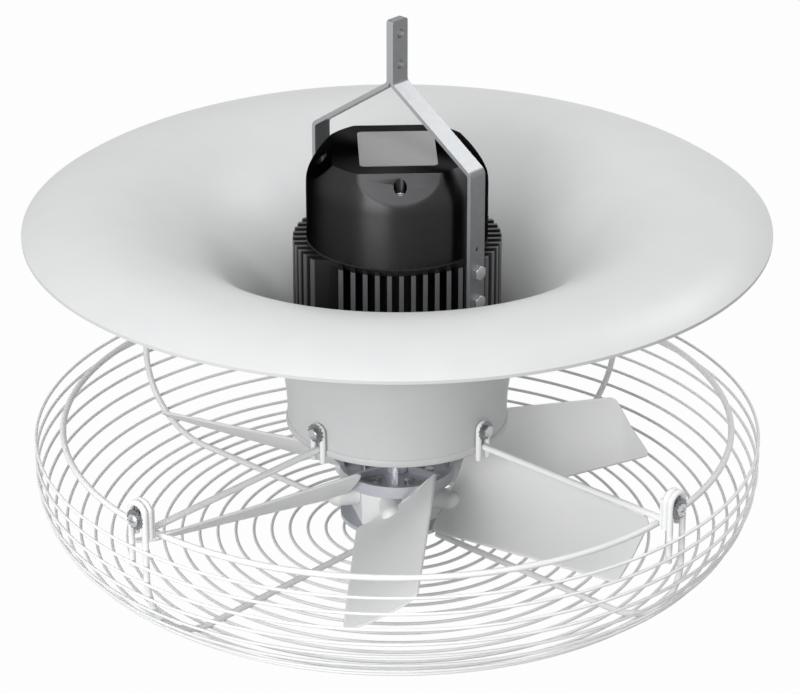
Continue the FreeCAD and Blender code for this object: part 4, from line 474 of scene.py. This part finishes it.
def moulded_plastic(name, dark, light, roughness):
    """Moulded housing plastic: an even colour with a slight speckle of its filler."""
    material, tree, shader, place = new_finish(name, metallic=0.0, roughness=roughness)
    speck = add(tree, "TexNoise", {"Vector": place, "Scale": 1 / (SPECKLE * MM), "Detail": 3.0})
    tone = add(tree, "Mix", {0: speck.outputs["Fac"], 6: linear(dark), 7: linear(light)},
               data_type="RGBA")
    tree.links.new(tone.outputs[2], shader.inputs["Base Color"])
    return material


laminations = laminated_steel()
aluminium = turned_aluminium()
bearing_steel = ground_steel("ground_bearing_steel", "b0b2b5", "c8cacd", 0.18)
shaft_steel = ground_steel("ground_shaft_steel", "e0e1e4", "eeeef0", 0.22)
paint(laminations, "stator_core", "rotor_core")
paint(varnished_copper(), "stator_winding")
paint(aluminium, "upper_end_shield", "rotor_end_rings")
paint(bearing_steel, "bearing_outer_rings", "bearing_inner_rings", "preload_washer")
paint(moulded_plastic("grey_nylon", "5c5c5c", "6c6c6c", 0.5), "terminal_block")
paint(moulded_plastic("white_polypropylene", "dadad6", "e6e6e2", 0.35), "run_capacitor")
paint(shaft_steel, "shaft_key")
paint(bright_steel, "shield_screws")

# Hood: a trumpet that grows from a short duct round the motor's lower end up to a crest and falls to an
# outer lip. White plastic, 3 mm thick, formed over a mould, with a rolled bead round the duct's mouth.
HOOD_WALL = 3.0
DUCT_BORE = 102.0
DUCT_MOUTH = -376.5
MOUTH_EDGE = np.array([[2.0, 0.0], [0.8, 0.2], [0.0, 1.2]])
BEAD_RADIUS = 106.5
BEAD_HEIGHT = 7.0
BEAD_FULLNESS = 0.7
BEAD_STEPS = 12
FLARE_RADIUS, FLARE_CENTRE, FLARE_STEPS = 223.7, (325.7, -363.5), 40
CREST_RADIUS, CREST_CENTRE, CREST_STEPS = 120.0, (283.0, -269.0), 24
LIP_RADIUS, LIP_CENTRE, LIP_STEPS = 113.02, (283.0, -262.02), 18
LIP_EDGE = 350.0
HOOD_STEPS = 320
SKIN_RIPPLE = 40.0


def arc(centre, radius, start, end, steps):
    """Points of a circle's arc in the plane of distance from the axis and level, angles in degrees."""
    angle = np.radians(np.linspace(start, end, steps))
    return np.stack([centre[0] + radius * np.cos(angle), centre[1] + radius * np.sin(angle)], axis=-1)


def revolved(profile, steps):
    """A closed profile of distances and levels carried round the axis: (r cos a, r sin a, z)."""
    angle = np.linspace(0, 2 * np.pi, steps, endpoint=False)[:, None]
    reach, level = profile[:, 0], profile[:, 1]
    return np.stack([reach * np.cos(angle), reach * np.sin(angle), level + 0 * angle], axis=-1)


def hood_profile():
    """Outline of the wall: along flare, crest and lip, round the edge, back underneath a wall's thickness
    lower, down the duct's outside over the bead, a swelling sine, and into the bore."""
    meet = np.array(CREST_CENTRE) - FLARE_CENTRE
    join = math.degrees(math.atan2(meet[1], meet[0]))
    edge = 90 - math.degrees(math.asin((LIP_EDGE - LIP_CENTRE[0]) / LIP_RADIUS))
    lip_under = np.array(LIP_CENTRE) - [0, HOOD_WALL]
    top = [arc(FLARE_CENTRE, FLARE_RADIUS, 180, join, FLARE_STEPS),
           arc(CREST_CENTRE, CREST_RADIUS, join, 90, CREST_STEPS)[1:],
           arc(LIP_CENTRE, LIP_RADIUS, 90, edge, LIP_STEPS)[1:]]
    under = [arc(lip_under, LIP_RADIUS, edge, 90, LIP_STEPS),
             arc(CREST_CENTRE, CREST_RADIUS - HOOD_WALL, 90, join, CREST_STEPS)[1:],
             arc(FLARE_CENTRE, FLARE_RADIUS - HOOD_WALL, join, 180, FLARE_STEPS)[1:]]
    outer = DUCT_BORE + HOOD_WALL
    swell = np.linspace(0, np.pi, BEAD_STEPS)
    bead = np.stack([outer + (BEAD_RADIUS - outer) * np.sin(swell) ** BEAD_FULLNESS,
                     DUCT_MOUTH + BEAD_HEIGHT * (1 + np.cos(swell)) / 2], axis=-1)
    return np.concatenate(top + under + [bead, MOUTH_EDGE + [DUCT_BORE, DUCT_MOUTH]])


def white_moulded_hood():
    """Smooth white plastic skin: soft even white with a broad weak shine and long ripples left by
    forming."""
    material, tree, shader, place = new_finish("white_moulded_hood", metallic=0.0, roughness=0.42)
    ripple = add(tree, "TexNoise", {"Vector": place, "Scale": 1 / (SKIN_RIPPLE * MM), "Detail": 1.0})
    tone = add(tree, "Mix", {0: ripple.outputs["Fac"], 6: linear("c9cacb"), 7: linear("cecfcf")},
               data_type="RGBA")
    tree.links.new(tone.outputs[2], shader.inputs["Base Color"])
    return material


hood = made("trumpet_hood", [grid(revolved(hood_profile(), HOOD_STEPS), loop=True)])
fit(hood, white_moulded_hood(), "frame", "white_hood", "hood")

# Hood bolts and washers: four M6 hexagon bolts with serrated washers clamp the struts' hoops on the duct.
# Zinc-plated steel, the washers darker from their heat treatment.
HOOD_BOLT_LEVEL = -352.0
HOOD_WASHER_FACE = 112.15
HOOD_BOLT = {"across": 10.0, "height": 3.9, "shank": 3.0, "length": 17.0}
HOOD_WASHER = {"outer": 9.5, "inner": 3.2, "thick": 1.6, "teeth": 14}
STEPS_PER_TOOTH = 8
QUARTERS = (0, 90, 180, 270)


def serrated_washer(outer, inner, thick, teeth):
    """Ring with teeth: a rounded flat section carried round the axis, its outer radius about a tenth less
    in each gap and its outer edge twisted up and down once per tooth."""
    angle = np.linspace(0, 2 * np.pi, STEPS_PER_TOOTH * teeth, endpoint=False)[:, None]
    gap = 0.5 + 0.5 * np.tanh(3 * np.sin(teeth * angle))
    share = np.array([0.0, 0.0, 0.1, 0.6, 1.0, 1.0, 0.6, 0.1])
    level = np.array([0.2, 0.8, 1.0, 1.0, 0.8, 0.2, 0.0, 0.0]) * thick
    reach = inner + share * (outer * (1 - 0.12 * gap) - inner)
    twist = 0.25 * thick * np.sin(teeth * angle + 1.2) * np.clip(share - 0.5, 0, 1)
    return np.stack([reach * np.cos(angle), reach * np.sin(angle), level + twist], axis=-1)


washer_steel = zinc_plated_steel("grey_zinc_steel", "7a7b7d", "8e8f91", 0.3)
head = outward(hex_bolt(**HOOD_BOLT), HOOD_WASHER_FACE + HOOD_WASHER["thick"], HOOD_BOLT_LEVEL)
heads = [grid(turned(head, quarter)) for quarter in QUARTERS]
fit(made("hood_bolts.dressed", heads), bright_steel, "frame", "bright_fastener", "hood_bolts")
washer = outward(serrated_washer(**HOOD_WASHER), HOOD_WASHER_FACE, HOOD_BOLT_LEVEL)
washers = [grid(turned(washer, quarter), loop=True) for quarter in QUARTERS]
fit(made("hood_washers.dressed", washers), washer_steel, "frame", "bright_fastener", "hood_washers")

# Struts: four rods that carry the guard, each with a hoop bolted to the duct, a welded tab under the hood
# and an ear hoop for the guard's rib. Bent and spot-welded steel wire, powder coated white.
DUCT_HOOP = {"reach": 109.35, "half": 5.9, "spring": -352.0, "foot": -382.0}
EAR_HOOP = {"reach": 334.95, "half": 9.0, "spring": -347.3, "foot": -373.2}
DUCT_HOOP_WIRE = 5.6
EAR_HOOP_WIRE = 6.0
HOOP_STEPS = 25
LEG_STEPS = 8
ROD_WIRE = 6.4
ROD_SIDES = 16
ROD_LEVEL = -370.0
ROD_ENDS = (109.35, 330.75)
ROD_STEPS = 3
TAB = {"inner": 329.25, "outer": 332.25, "half": 10.0, "foot": -370.0, "top": -344.3, "corner": 1.0}
POWDER_GRAIN = 1.0


def wire(path, diameter, side, sides=12):
    """A round wire: a circle carried along a path, set square to it. Its first direction is the path's
    direction crossed with a side vector, its second the cross product of both."""
    ahead = np.gradient(path, axis=0)
    ahead /= np.linalg.norm(ahead, axis=1, keepdims=True)
    first = np.cross(ahead, side)
    first /= np.linalg.norm(first, axis=1, keepdims=True)
    second = np.cross(ahead, first)
    turn = np.linspace(0, 2 * np.pi, sides, endpoint=False)
    offset = np.cos(turn)[:, None] * first[:, None] + np.sin(turn)[:, None] * second[:, None]
    return path[:, None] + diameter / 2 * offset


def hoop(reach, half, spring, foot):
    """Path of an upright hoop: up one leg, over a half circle and down the other leg."""
    turn = np.linspace(np.pi, 0, HOOP_STEPS)
    over = np.stack([reach + 0 * turn, half * np.cos(turn), spring + half * np.sin(turn)], axis=-1)
    rise = np.linspace(foot, spring, LEG_STEPS + 1)[:-1]
    leg = np.stack([reach + 0 * rise, -half + 0 * rise, rise], axis=-1)
    return np.concatenate([leg, over, leg[::-1] * [1, -1, 1]])


def white_powder_coat():
    """Powder coat on wire: white with a soft shine and a very fine orange peel."""
    material, tree, shader, place = new_finish("white_powder_coat", metallic=0.0, roughness=0.4)
    peel = add(tree, "TexNoise", {"Vector": place, "Scale": 1 / (POWDER_GRAIN * MM), "Detail": 2.0})
    tone = add(tree, "Mix", {0: peel.outputs["Fac"], 6: linear("edeeee"), 7: linear("f2f2f2")},
               data_type="RGBA")
    bump = add(tree, "Bump", {"Height": peel.outputs["Fac"], "Strength": 0.05, "Distance": 0.05 * MM})
    tree.links.new(tone.outputs[2], shader.inputs["Base Color"])
    tree.links.new(bump.outputs["Normal"], shader.inputs["Normal"])
    return material


powder = white_powder_coat()
rod = np.linspace(*ROD_ENDS, ROD_STEPS)
rod = np.stack([rod, 0 * rod, ROD_LEVEL + 0 * rod], axis=-1)
strut = [wire(hoop(**DUCT_HOOP), DUCT_HOOP_WIRE, (1, 0, 0)),
         wire(hoop(**EAR_HOOP), EAR_HOOP_WIRE, (1, 0, 0)),
         wire(rod, ROD_WIRE, (0, 1, 0), sides=ROD_SIDES),
         rounded_plate(**TAB)]
for number, quarter in enumerate(QUARTERS, 1):
    piece = made(f"strut_{number}.dressed", [grid(turned(part, quarter)) for part in strut])
    fit(piece, powder, "frame", "white_wire", f"strut_{number}")

# Guard: a basket of 3 mm rings on four bent 6 mm ribs, with a 6 mm rim below the struts.
# Drawn steel wire, rings butt welded and every crossing spot welded, powder coated white.
RIM = {"radius": 319.5, "level": -376.25, "diameter": 6.0}
RING_WIRE = 3.0
RING_STEPS = 240
RING_SIDES = 12
RING_PITCH = 16.0
SIDE_RINGS = 10
FIRST_RING = -382.25
UPRIGHT_RUN = 27.55
BEND_CENTRE = (261.0, -409.8)
BEND_RADIUS = 84.55
FLOOR_LEVEL = -494.35
FLOOR_RADII = np.linspace(52.0, 262.0, 13)
RIB = {"start": 44.0, "offset": 9.0, "floor": -489.8, "bend": 80.0, "top": -347.3, "leg": -405.3}
RIB_WIRE = 6.0
RIB_FLOOR_STEPS, RIB_BEND_STEPS, RIB_UPRIGHT_STEPS = 16, 24, 8
RIB_SIDE = (math.sqrt(0.5), math.sqrt(0.5), 0)


def ring(radius, level, diameter):
    """A wire ring: ((R + r cos b) cos a, (R + r cos b) sin a, z + r sin b)."""
    turn = np.linspace(0, 2 * np.pi, RING_SIDES, endpoint=False)
    section = np.stack([radius + diameter / 2 * np.cos(turn), level + diameter / 2 * np.sin(turn)], axis=-1)
    return revolved(section, RING_STEPS)


def rib_path(start, offset, floor, bend, top, leg):
    """Path of a rib: level from near the axis, a quarter bend, upright to the ear, a half turn over it
    and a short leg down."""
    level_run = np.linspace(start, BEND_CENTRE[0], RIB_FLOOR_STEPS)[:-1]
    bent_run = arc(BEND_CENTRE, bend, -90, 0, RIB_BEND_STEPS)
    rise = np.linspace(BEND_CENTRE[1], top, RIB_UPRIGHT_STEPS)[1:-1]
    turn = np.linspace(0, np.pi, HOOP_STEPS)
    fall = np.linspace(top, leg, RIB_UPRIGHT_STEPS)[1:]
    upright = np.concatenate([rise, top + offset * np.sin(turn), fall])
    before_ear = len(level_run) + len(bent_run) + len(rise)
    x = np.concatenate([level_run, bent_run[:, 0], BEND_CENTRE[0] + bend + 0 * upright])
    y = np.concatenate([np.full(before_ear, offset), offset * np.cos(turn), np.full(len(fall), -offset)])
    z = np.concatenate([np.full(len(level_run), floor), bent_run[:, 1], upright])
    return np.stack([x, y, z], axis=-1)


rim = made("guard_rim.dressed", [grid(ring(**RIM), loop=True)])
fit(rim, powder, "frame", "white_wire", "guard_rim")
run = np.arange(SIDE_RINGS) * RING_PITCH
bent = np.clip(run - UPRIGHT_RUN, 0, None) / BEND_RADIUS
side_radius = BEND_CENTRE[0] + BEND_RADIUS * np.cos(bent)
side_level = np.where(bent > 0, BEND_CENTRE[1] - BEND_RADIUS * np.sin(bent), FIRST_RING - run)
side = [grid(ring(radius, level, RING_WIRE), loop=True) for radius, level in zip(side_radius, side_level)]
fit(made("guard_side_rings.dressed", side), powder, "frame", "white_wire", "guard_side_rings")
floor_rings = [grid(ring(radius, FLOOR_LEVEL, RING_WIRE), loop=True) for radius in FLOOR_RADII]
fit(made("guard_floor_rings.dressed", floor_rings), powder, "frame", "white_wire", "guard_floor_rings")
rib = wire(rib_path(**RIB), RIB_WIRE, RIB_SIDE)
for number, quarter in enumerate(QUARTERS, 1):
    piece = made(f"guard_rib_{number}.dressed", [grid(turned(rib, quarter))])
    fit(piece, powder, "frame", "white_wire", f"guard_rib_{number}")

# Ear screws and washers: a pan-head screw with a serrated washer clamps each rib's ear on its strut.
# Bright zinc-plated steel, the washers darker from their heat treatment.
EAR_LEVEL = -353.3
EAR_WASHER_FACE = 344.0
EAR_SCREW = {"radius": 6.0, "height": 4.2, "shank": 3.0, "length": 16.0}
EAR_WASHER = {"outer": 10.0, "inner": 3.2, "thick": 1.6, "teeth": 16}
ear_screw = outward(pan_screw(**EAR_SCREW), EAR_WASHER_FACE + EAR_WASHER["thick"], EAR_LEVEL)
screws = [grid(turned(ear_screw, quarter)) for quarter in QUARTERS]
fit(made("ear_screws.dressed", screws), bright_steel, "frame", "bright_fastener", "ear_screws")
washer = outward(serrated_washer(**EAR_WASHER), EAR_WASHER_FACE, EAR_LEVEL)
washers = [grid(turned(washer, quarter), loop=True) for quarter in QUARTERS]
fit(made("ear_washers.dressed", washers), washer_steel, "frame", "bright_fastener", "ear_washers")

# Shaft and hub: the motor's shaft carries a ribbed dish, a six-sided hub body and a lower plate, clamped
# by six screws and a bolt in the shaft's end. Ground steel shaft, cast and turned aluminium plates and a
# moulded white body.
SHAFT_EDGE = 0.8
HUB_EDGE = 0.5
HUB_FASTENER_EDGE = 0.2
FIBRE_CLOUD = 40.0


def white_moulded_propeller():
    """Glass-filled white plastic: satin, slightly grey, with a faint cloudiness where the fibres lie."""
    material, tree, shader, place = new_finish("white_moulded_propeller", metallic=0.0, roughness=0.45)
    cloud = add(tree, "TexNoise", {"Vector": place, "Scale": 1 / (FIBRE_CLOUD * MM), "Detail": 3.0})
    tone = add(tree, "Mix", {0: cloud.outputs["Fac"], 6: linear("eeefef"), 7: linear("f3f3f3")},
               data_type="RGBA")
    tree.links.new(tone.outputs[2], shader.inputs["Base Color"])
    return material


propeller_white = white_moulded_propeller()
fit(from_cad("motor_shaft", SHAFT_EDGE), shaft_steel, "rotor", "shaft_steel", "motor_shaft")
fit(from_cad("hub_plate", HUB_EDGE), aluminium, "rotor", "cast_aluminium", "hub_plate")
fit(from_cad("hub_lower_plate", HUB_EDGE), aluminium, "rotor", "cast_aluminium", "hub_lower_plate")
fit(from_cad("hub_body", HUB_EDGE), propeller_white, "rotor", "white_blade", "hub_body")
for fastener in ("hub_screws", "hub_bolt", "hub_bolt_washer"):
    fit(from_cad(fastener, HUB_FASTENER_EDGE), bright_steel, "rotor", "bright_fastener", fastener)

# Blades: six cambered blades, hollow side up, that twist and narrow from root to tip, each with a round
# root that plugs into the hub body. Injection moulded in white glass-filled plastic, 2.6 mm thick.
BLADES = 6
FIRST_BLADE = -48.0
BLADE_THICK = 2.6
BLADE_CORNER = 7.0
CORNER_STEPS = 9
SPAN_STEPS = 30
CHORD_STEPS = 28
EDGE_STEPS = 5
BLADE_SHARP = 50
ROOT = {"reach": 59.0, "chord": 95.0, "pitch": 39.0, "camber": 7.0, "y": 0.0, "z": -434.6}
TIP = {"reach": 263.0, "chord": 74.0, "pitch": 28.5, "camber": 3.7, "y": -12.0, "z": -443.5}
STUB_AXIS = (-5.0, -447.5)
STUB_INNER, STUB_RADIUS = 26.0, 9.5
STUB_STEPS = 32
CONE_START, CONE_RADIUS, CONE_END = 44.6, 12.0, 62.5
CONE_STEP = 0.01


def blade_sheet():
    """The blade as a closed loop of points at each station along the span. Across the chord the sheet
    follows a circle through both edges and the camber below the middle; half the thickness is laid off
    to either side, and a half circle rounds each edge. Near root and tip the chord narrows by a corner's
    quarter circle."""
    ends = BLADE_CORNER * (1 - np.cos(np.linspace(0, np.pi / 2, CORNER_STEPS)))
    middle = np.linspace(ROOT["reach"] + BLADE_CORNER, TIP["reach"] - BLADE_CORNER, SPAN_STEPS)[1:-1]
    reach = np.concatenate([ROOT["reach"] + ends, middle, TIP["reach"] - ends[::-1]])
    share = ((reach - ROOT["reach"]) / (TIP["reach"] - ROOT["reach"]))[:, None]
    chord, pitch, camber, y, z = (ROOT[key] + share * (TIP[key] - ROOT[key])
                                  for key in ("chord", "pitch", "camber", "y", "z"))
    inset = np.minimum(reach - ROOT["reach"], TIP["reach"] - reach).clip(0, BLADE_CORNER)
    corner = BLADE_CORNER - np.sqrt(BLADE_CORNER ** 2 - (BLADE_CORNER - inset) ** 2)
    narrow = (chord - 2 * corner[:, None]) / chord
    circle = (chord ** 2 / 4 + camber ** 2) / (2 * camber)
    half = np.arcsin(chord / 2 / circle) * narrow
    across = np.linspace(-1, 1, CHORD_STEPS)
    flat, edge = np.ones(CHORD_STEPS), np.ones(EDGE_STEPS)
    round_edge = np.linspace(np.pi / 2, -np.pi / 2, EDGE_STEPS + 2)[1:-1]
    place = np.concatenate([across, edge, across[::-1], -edge])
    side = np.concatenate([flat, np.sin(round_edge), -flat, -np.sin(round_edge)])
    bulge = np.concatenate([0 * flat, np.cos(round_edge), 0 * flat, -np.cos(round_edge)])
    angle = place * half + bulge * BLADE_THICK / 2 / circle
    radius = circle - side * BLADE_THICK / 2
    slope = np.radians(pitch)
    along, up = radius * np.sin(angle), circle - camber - radius * np.cos(angle)
    flat_y = along * np.cos(slope) - up * np.sin(slope)
    flat_z = along * np.sin(slope) + up * np.cos(slope)
    return np.stack([reach[:, None] + 0 * flat_y, y + flat_y, z + flat_z], axis=-1)


def blade_root():
    """The round root along the blade: a plain plug in the hub, a cone outside it and a half-ball end."""
    turn = np.linspace(0, 2 * np.pi, STUB_STEPS, endpoint=False)
    ball = np.linspace(0, np.pi / 2, CORNER_STEPS)[1:-1]
    reach = np.concatenate([[STUB_INNER, CONE_START - CONE_STEP, CONE_START, CONE_END],
                            CONE_END + STUB_RADIUS * np.sin(ball)])[:, None]
    radius = np.concatenate([[STUB_RADIUS, STUB_RADIUS, CONE_RADIUS, STUB_RADIUS],
                             STUB_RADIUS * np.cos(ball)])[:, None]
    return np.stack([reach + 0 * turn, STUB_AXIS[0] + radius * np.cos(turn),
                     STUB_AXIS[1] + radius * np.sin(turn)], axis=-1)


for number in range(1, BLADES + 1):
    heading = FIRST_BLADE + 360 / BLADES * (number - 1)
    blade = [grid(turned(part, heading)) for part in (blade_sheet(), blade_root())]
    piece = made(f"blade_{number}.dressed", blade, sharp=BLADE_SHARP)
    fit(piece, propeller_white, "rotor", "white_blade", f"blade_{number}")

# Studio: a pale floor far below the hanging fan, a broad low key lamp from the left, a softer one above it,
# a small lamp over the cap, one from behind on the right, and even light all round. The camera stands
# where the view of the photograph was fitted, with a long lens.
FLOOR_BELOW = -4.2
FLOOR_HALF = 12.0
PAPER_WHITE = 0.98
SOFT_LIGHT = 0.48
LAMPS = {
    "low_key_lamp": {"azimuth": -26, "elevation": 15, "distance": 3.4, "size": (1.8, 1.6), "power": 70},
    "high_key_lamp": {"azimuth": -40, "elevation": 54, "distance": 3.2, "size": (1.6, 1.6), "power": 16},
    "facet_lamp": {"azimuth": 2, "elevation": 64, "distance": 2.6, "size": (0.7, 0.7), "power": 13},
    "rim_lamp": {"azimuth": 124, "elevation": 47, "distance": 2.6, "size": (0.6, 0.6), "power": 14},
}
CAMERA_AZIMUTH = 42.7
CAMERA_ELEVATION = 26.09
CAMERA_TARGET = Vector((0, 0, -0.378))
CAMERA_DISTANCE = 3.3164
FOCAL_PIXELS = 3452.9
AIM_RIGHT, AIM_UP = 2.8, 72.4
SENSOR = 36.0
IMAGE_WIDTH = 800


def seen_white(tree, share):
    """Factor for rays that show the background itself, camera, glossy and transmission rays, times a
    share."""
    path = add(tree, "LightPath", {})
    both = add(tree, "Math", {0: path.outputs["Is Camera Ray"], 1: path.outputs["Is Glossy Ray"]},
               operation="MAXIMUM")
    every = add(tree, "Math", {0: both.outputs[0], 1: path.outputs["Is Transmission Ray"]},
                operation="MAXIMUM")
    return add(tree, "Math", {0: every.outputs[0], 1: share}, operation="MULTIPLY").outputs[0]


def studio_paper():
    """Studio paper: matt and pale, seen as white behind the fan, with a trace of the fan's shadow."""
    material = bpy.data.materials.new("studio_paper")
    material.use_nodes = True
    tree = material.node_tree
    tree.nodes.remove(tree.nodes["Principled BSDF"])
    paper = add(tree, "BsdfDiffuse", {"Color": linear("a4a4a4")})
    white = add(tree, "Emission", {"Color": linear("ffffff"), "Strength": 1.0})
    both = add(tree, "MixShader", {0: seen_white(tree, PAPER_WHITE), 1: paper.outputs[0],
                                   2: white.outputs[0]})
    tree.links.new(both.outputs[0], tree.nodes["Material Output"].inputs["Surface"])
    return material


def away(azimuth, elevation):
    """Unit vector from the fan: azimuth from -Y towards +X and elevation, in degrees."""
    turn, rise = math.radians(azimuth), math.radians(elevation)
    return Vector((math.sin(turn) * math.cos(rise), -math.cos(turn) * math.cos(rise), math.sin(rise)))


def lamp(name, azimuth, elevation, distance, size, power):
    """A soft lamp that faces the fan, at an azimuth counted from the camera's towards its right."""
    direction = away(CAMERA_AZIMUTH + azimuth, elevation)
    light = bpy.data.lights.new(name, "AREA")
    light.shape = "RECTANGLE"
    light.size, light.size_y = size
    light.energy = power
    source = bpy.data.objects.new(name, light)
    source.location = CAMERA_TARGET + distance * direction
    source.rotation_euler = (-direction).to_track_quat("-Z", "Y").to_euler()
    bpy.context.collection.objects.link(source)


paper_mesh = bpy.data.meshes.new("studio_floor")
corners = np.array([[-1, -1, 0], [1, -1, 0], [1, 1, 0], [-1, 1, 0]]) * FLOOR_HALF + [0, 0, FLOOR_BELOW]
paper_mesh.from_pydata(corners.tolist(), [], [[0, 1, 2, 3]])
paper_mesh.materials.append(studio_paper())
floor = bpy.data.objects.new("studio_floor", paper_mesh)
bpy.context.collection.objects.link(floor)

world = bpy.context.scene.world or bpy.data.worlds.new("studio")
bpy.context.scene.world = world
world.use_nodes = True
sky = world.node_tree
sky.nodes.clear()
soft = add(sky, "Background", {"Color": linear("ffffff"), "Strength": SOFT_LIGHT})
white = add(sky, "Background", {"Color": linear("ffffff"), "Strength": 1.0})
shown = add(sky, "MixShader", {0: seen_white(sky, 1.0), 1: soft.outputs[0], 2: white.outputs[0]})
add(sky, "OutputWorld", {"Surface": shown.outputs[0]})
for name, setting in LAMPS.items():
    lamp(name, **setting)

back = away(CAMERA_AZIMUTH, CAMERA_ELEVATION)
right = away(CAMERA_AZIMUTH + 90, 0)
up = back.cross(right)
lens = bpy.data.cameras.new("camera")
lens.sensor_width = SENSOR
lens.lens = FOCAL_PIXELS * SENSOR / IMAGE_WIDTH
camera = bpy.data.objects.new("camera", lens)
camera.location = CAMERA_TARGET + CAMERA_DISTANCE * back
aim = -back + (right * AIM_RIGHT + up * AIM_UP) / FOCAL_PIXELS
camera.rotation_euler = aim.to_track_quat("-Z", "Y").to_euler()
bpy.context.collection.objects.link(camera)
bpy.context.scene.camera = camera
bpy.context.scene.view_settings.view_transform = "Standard"
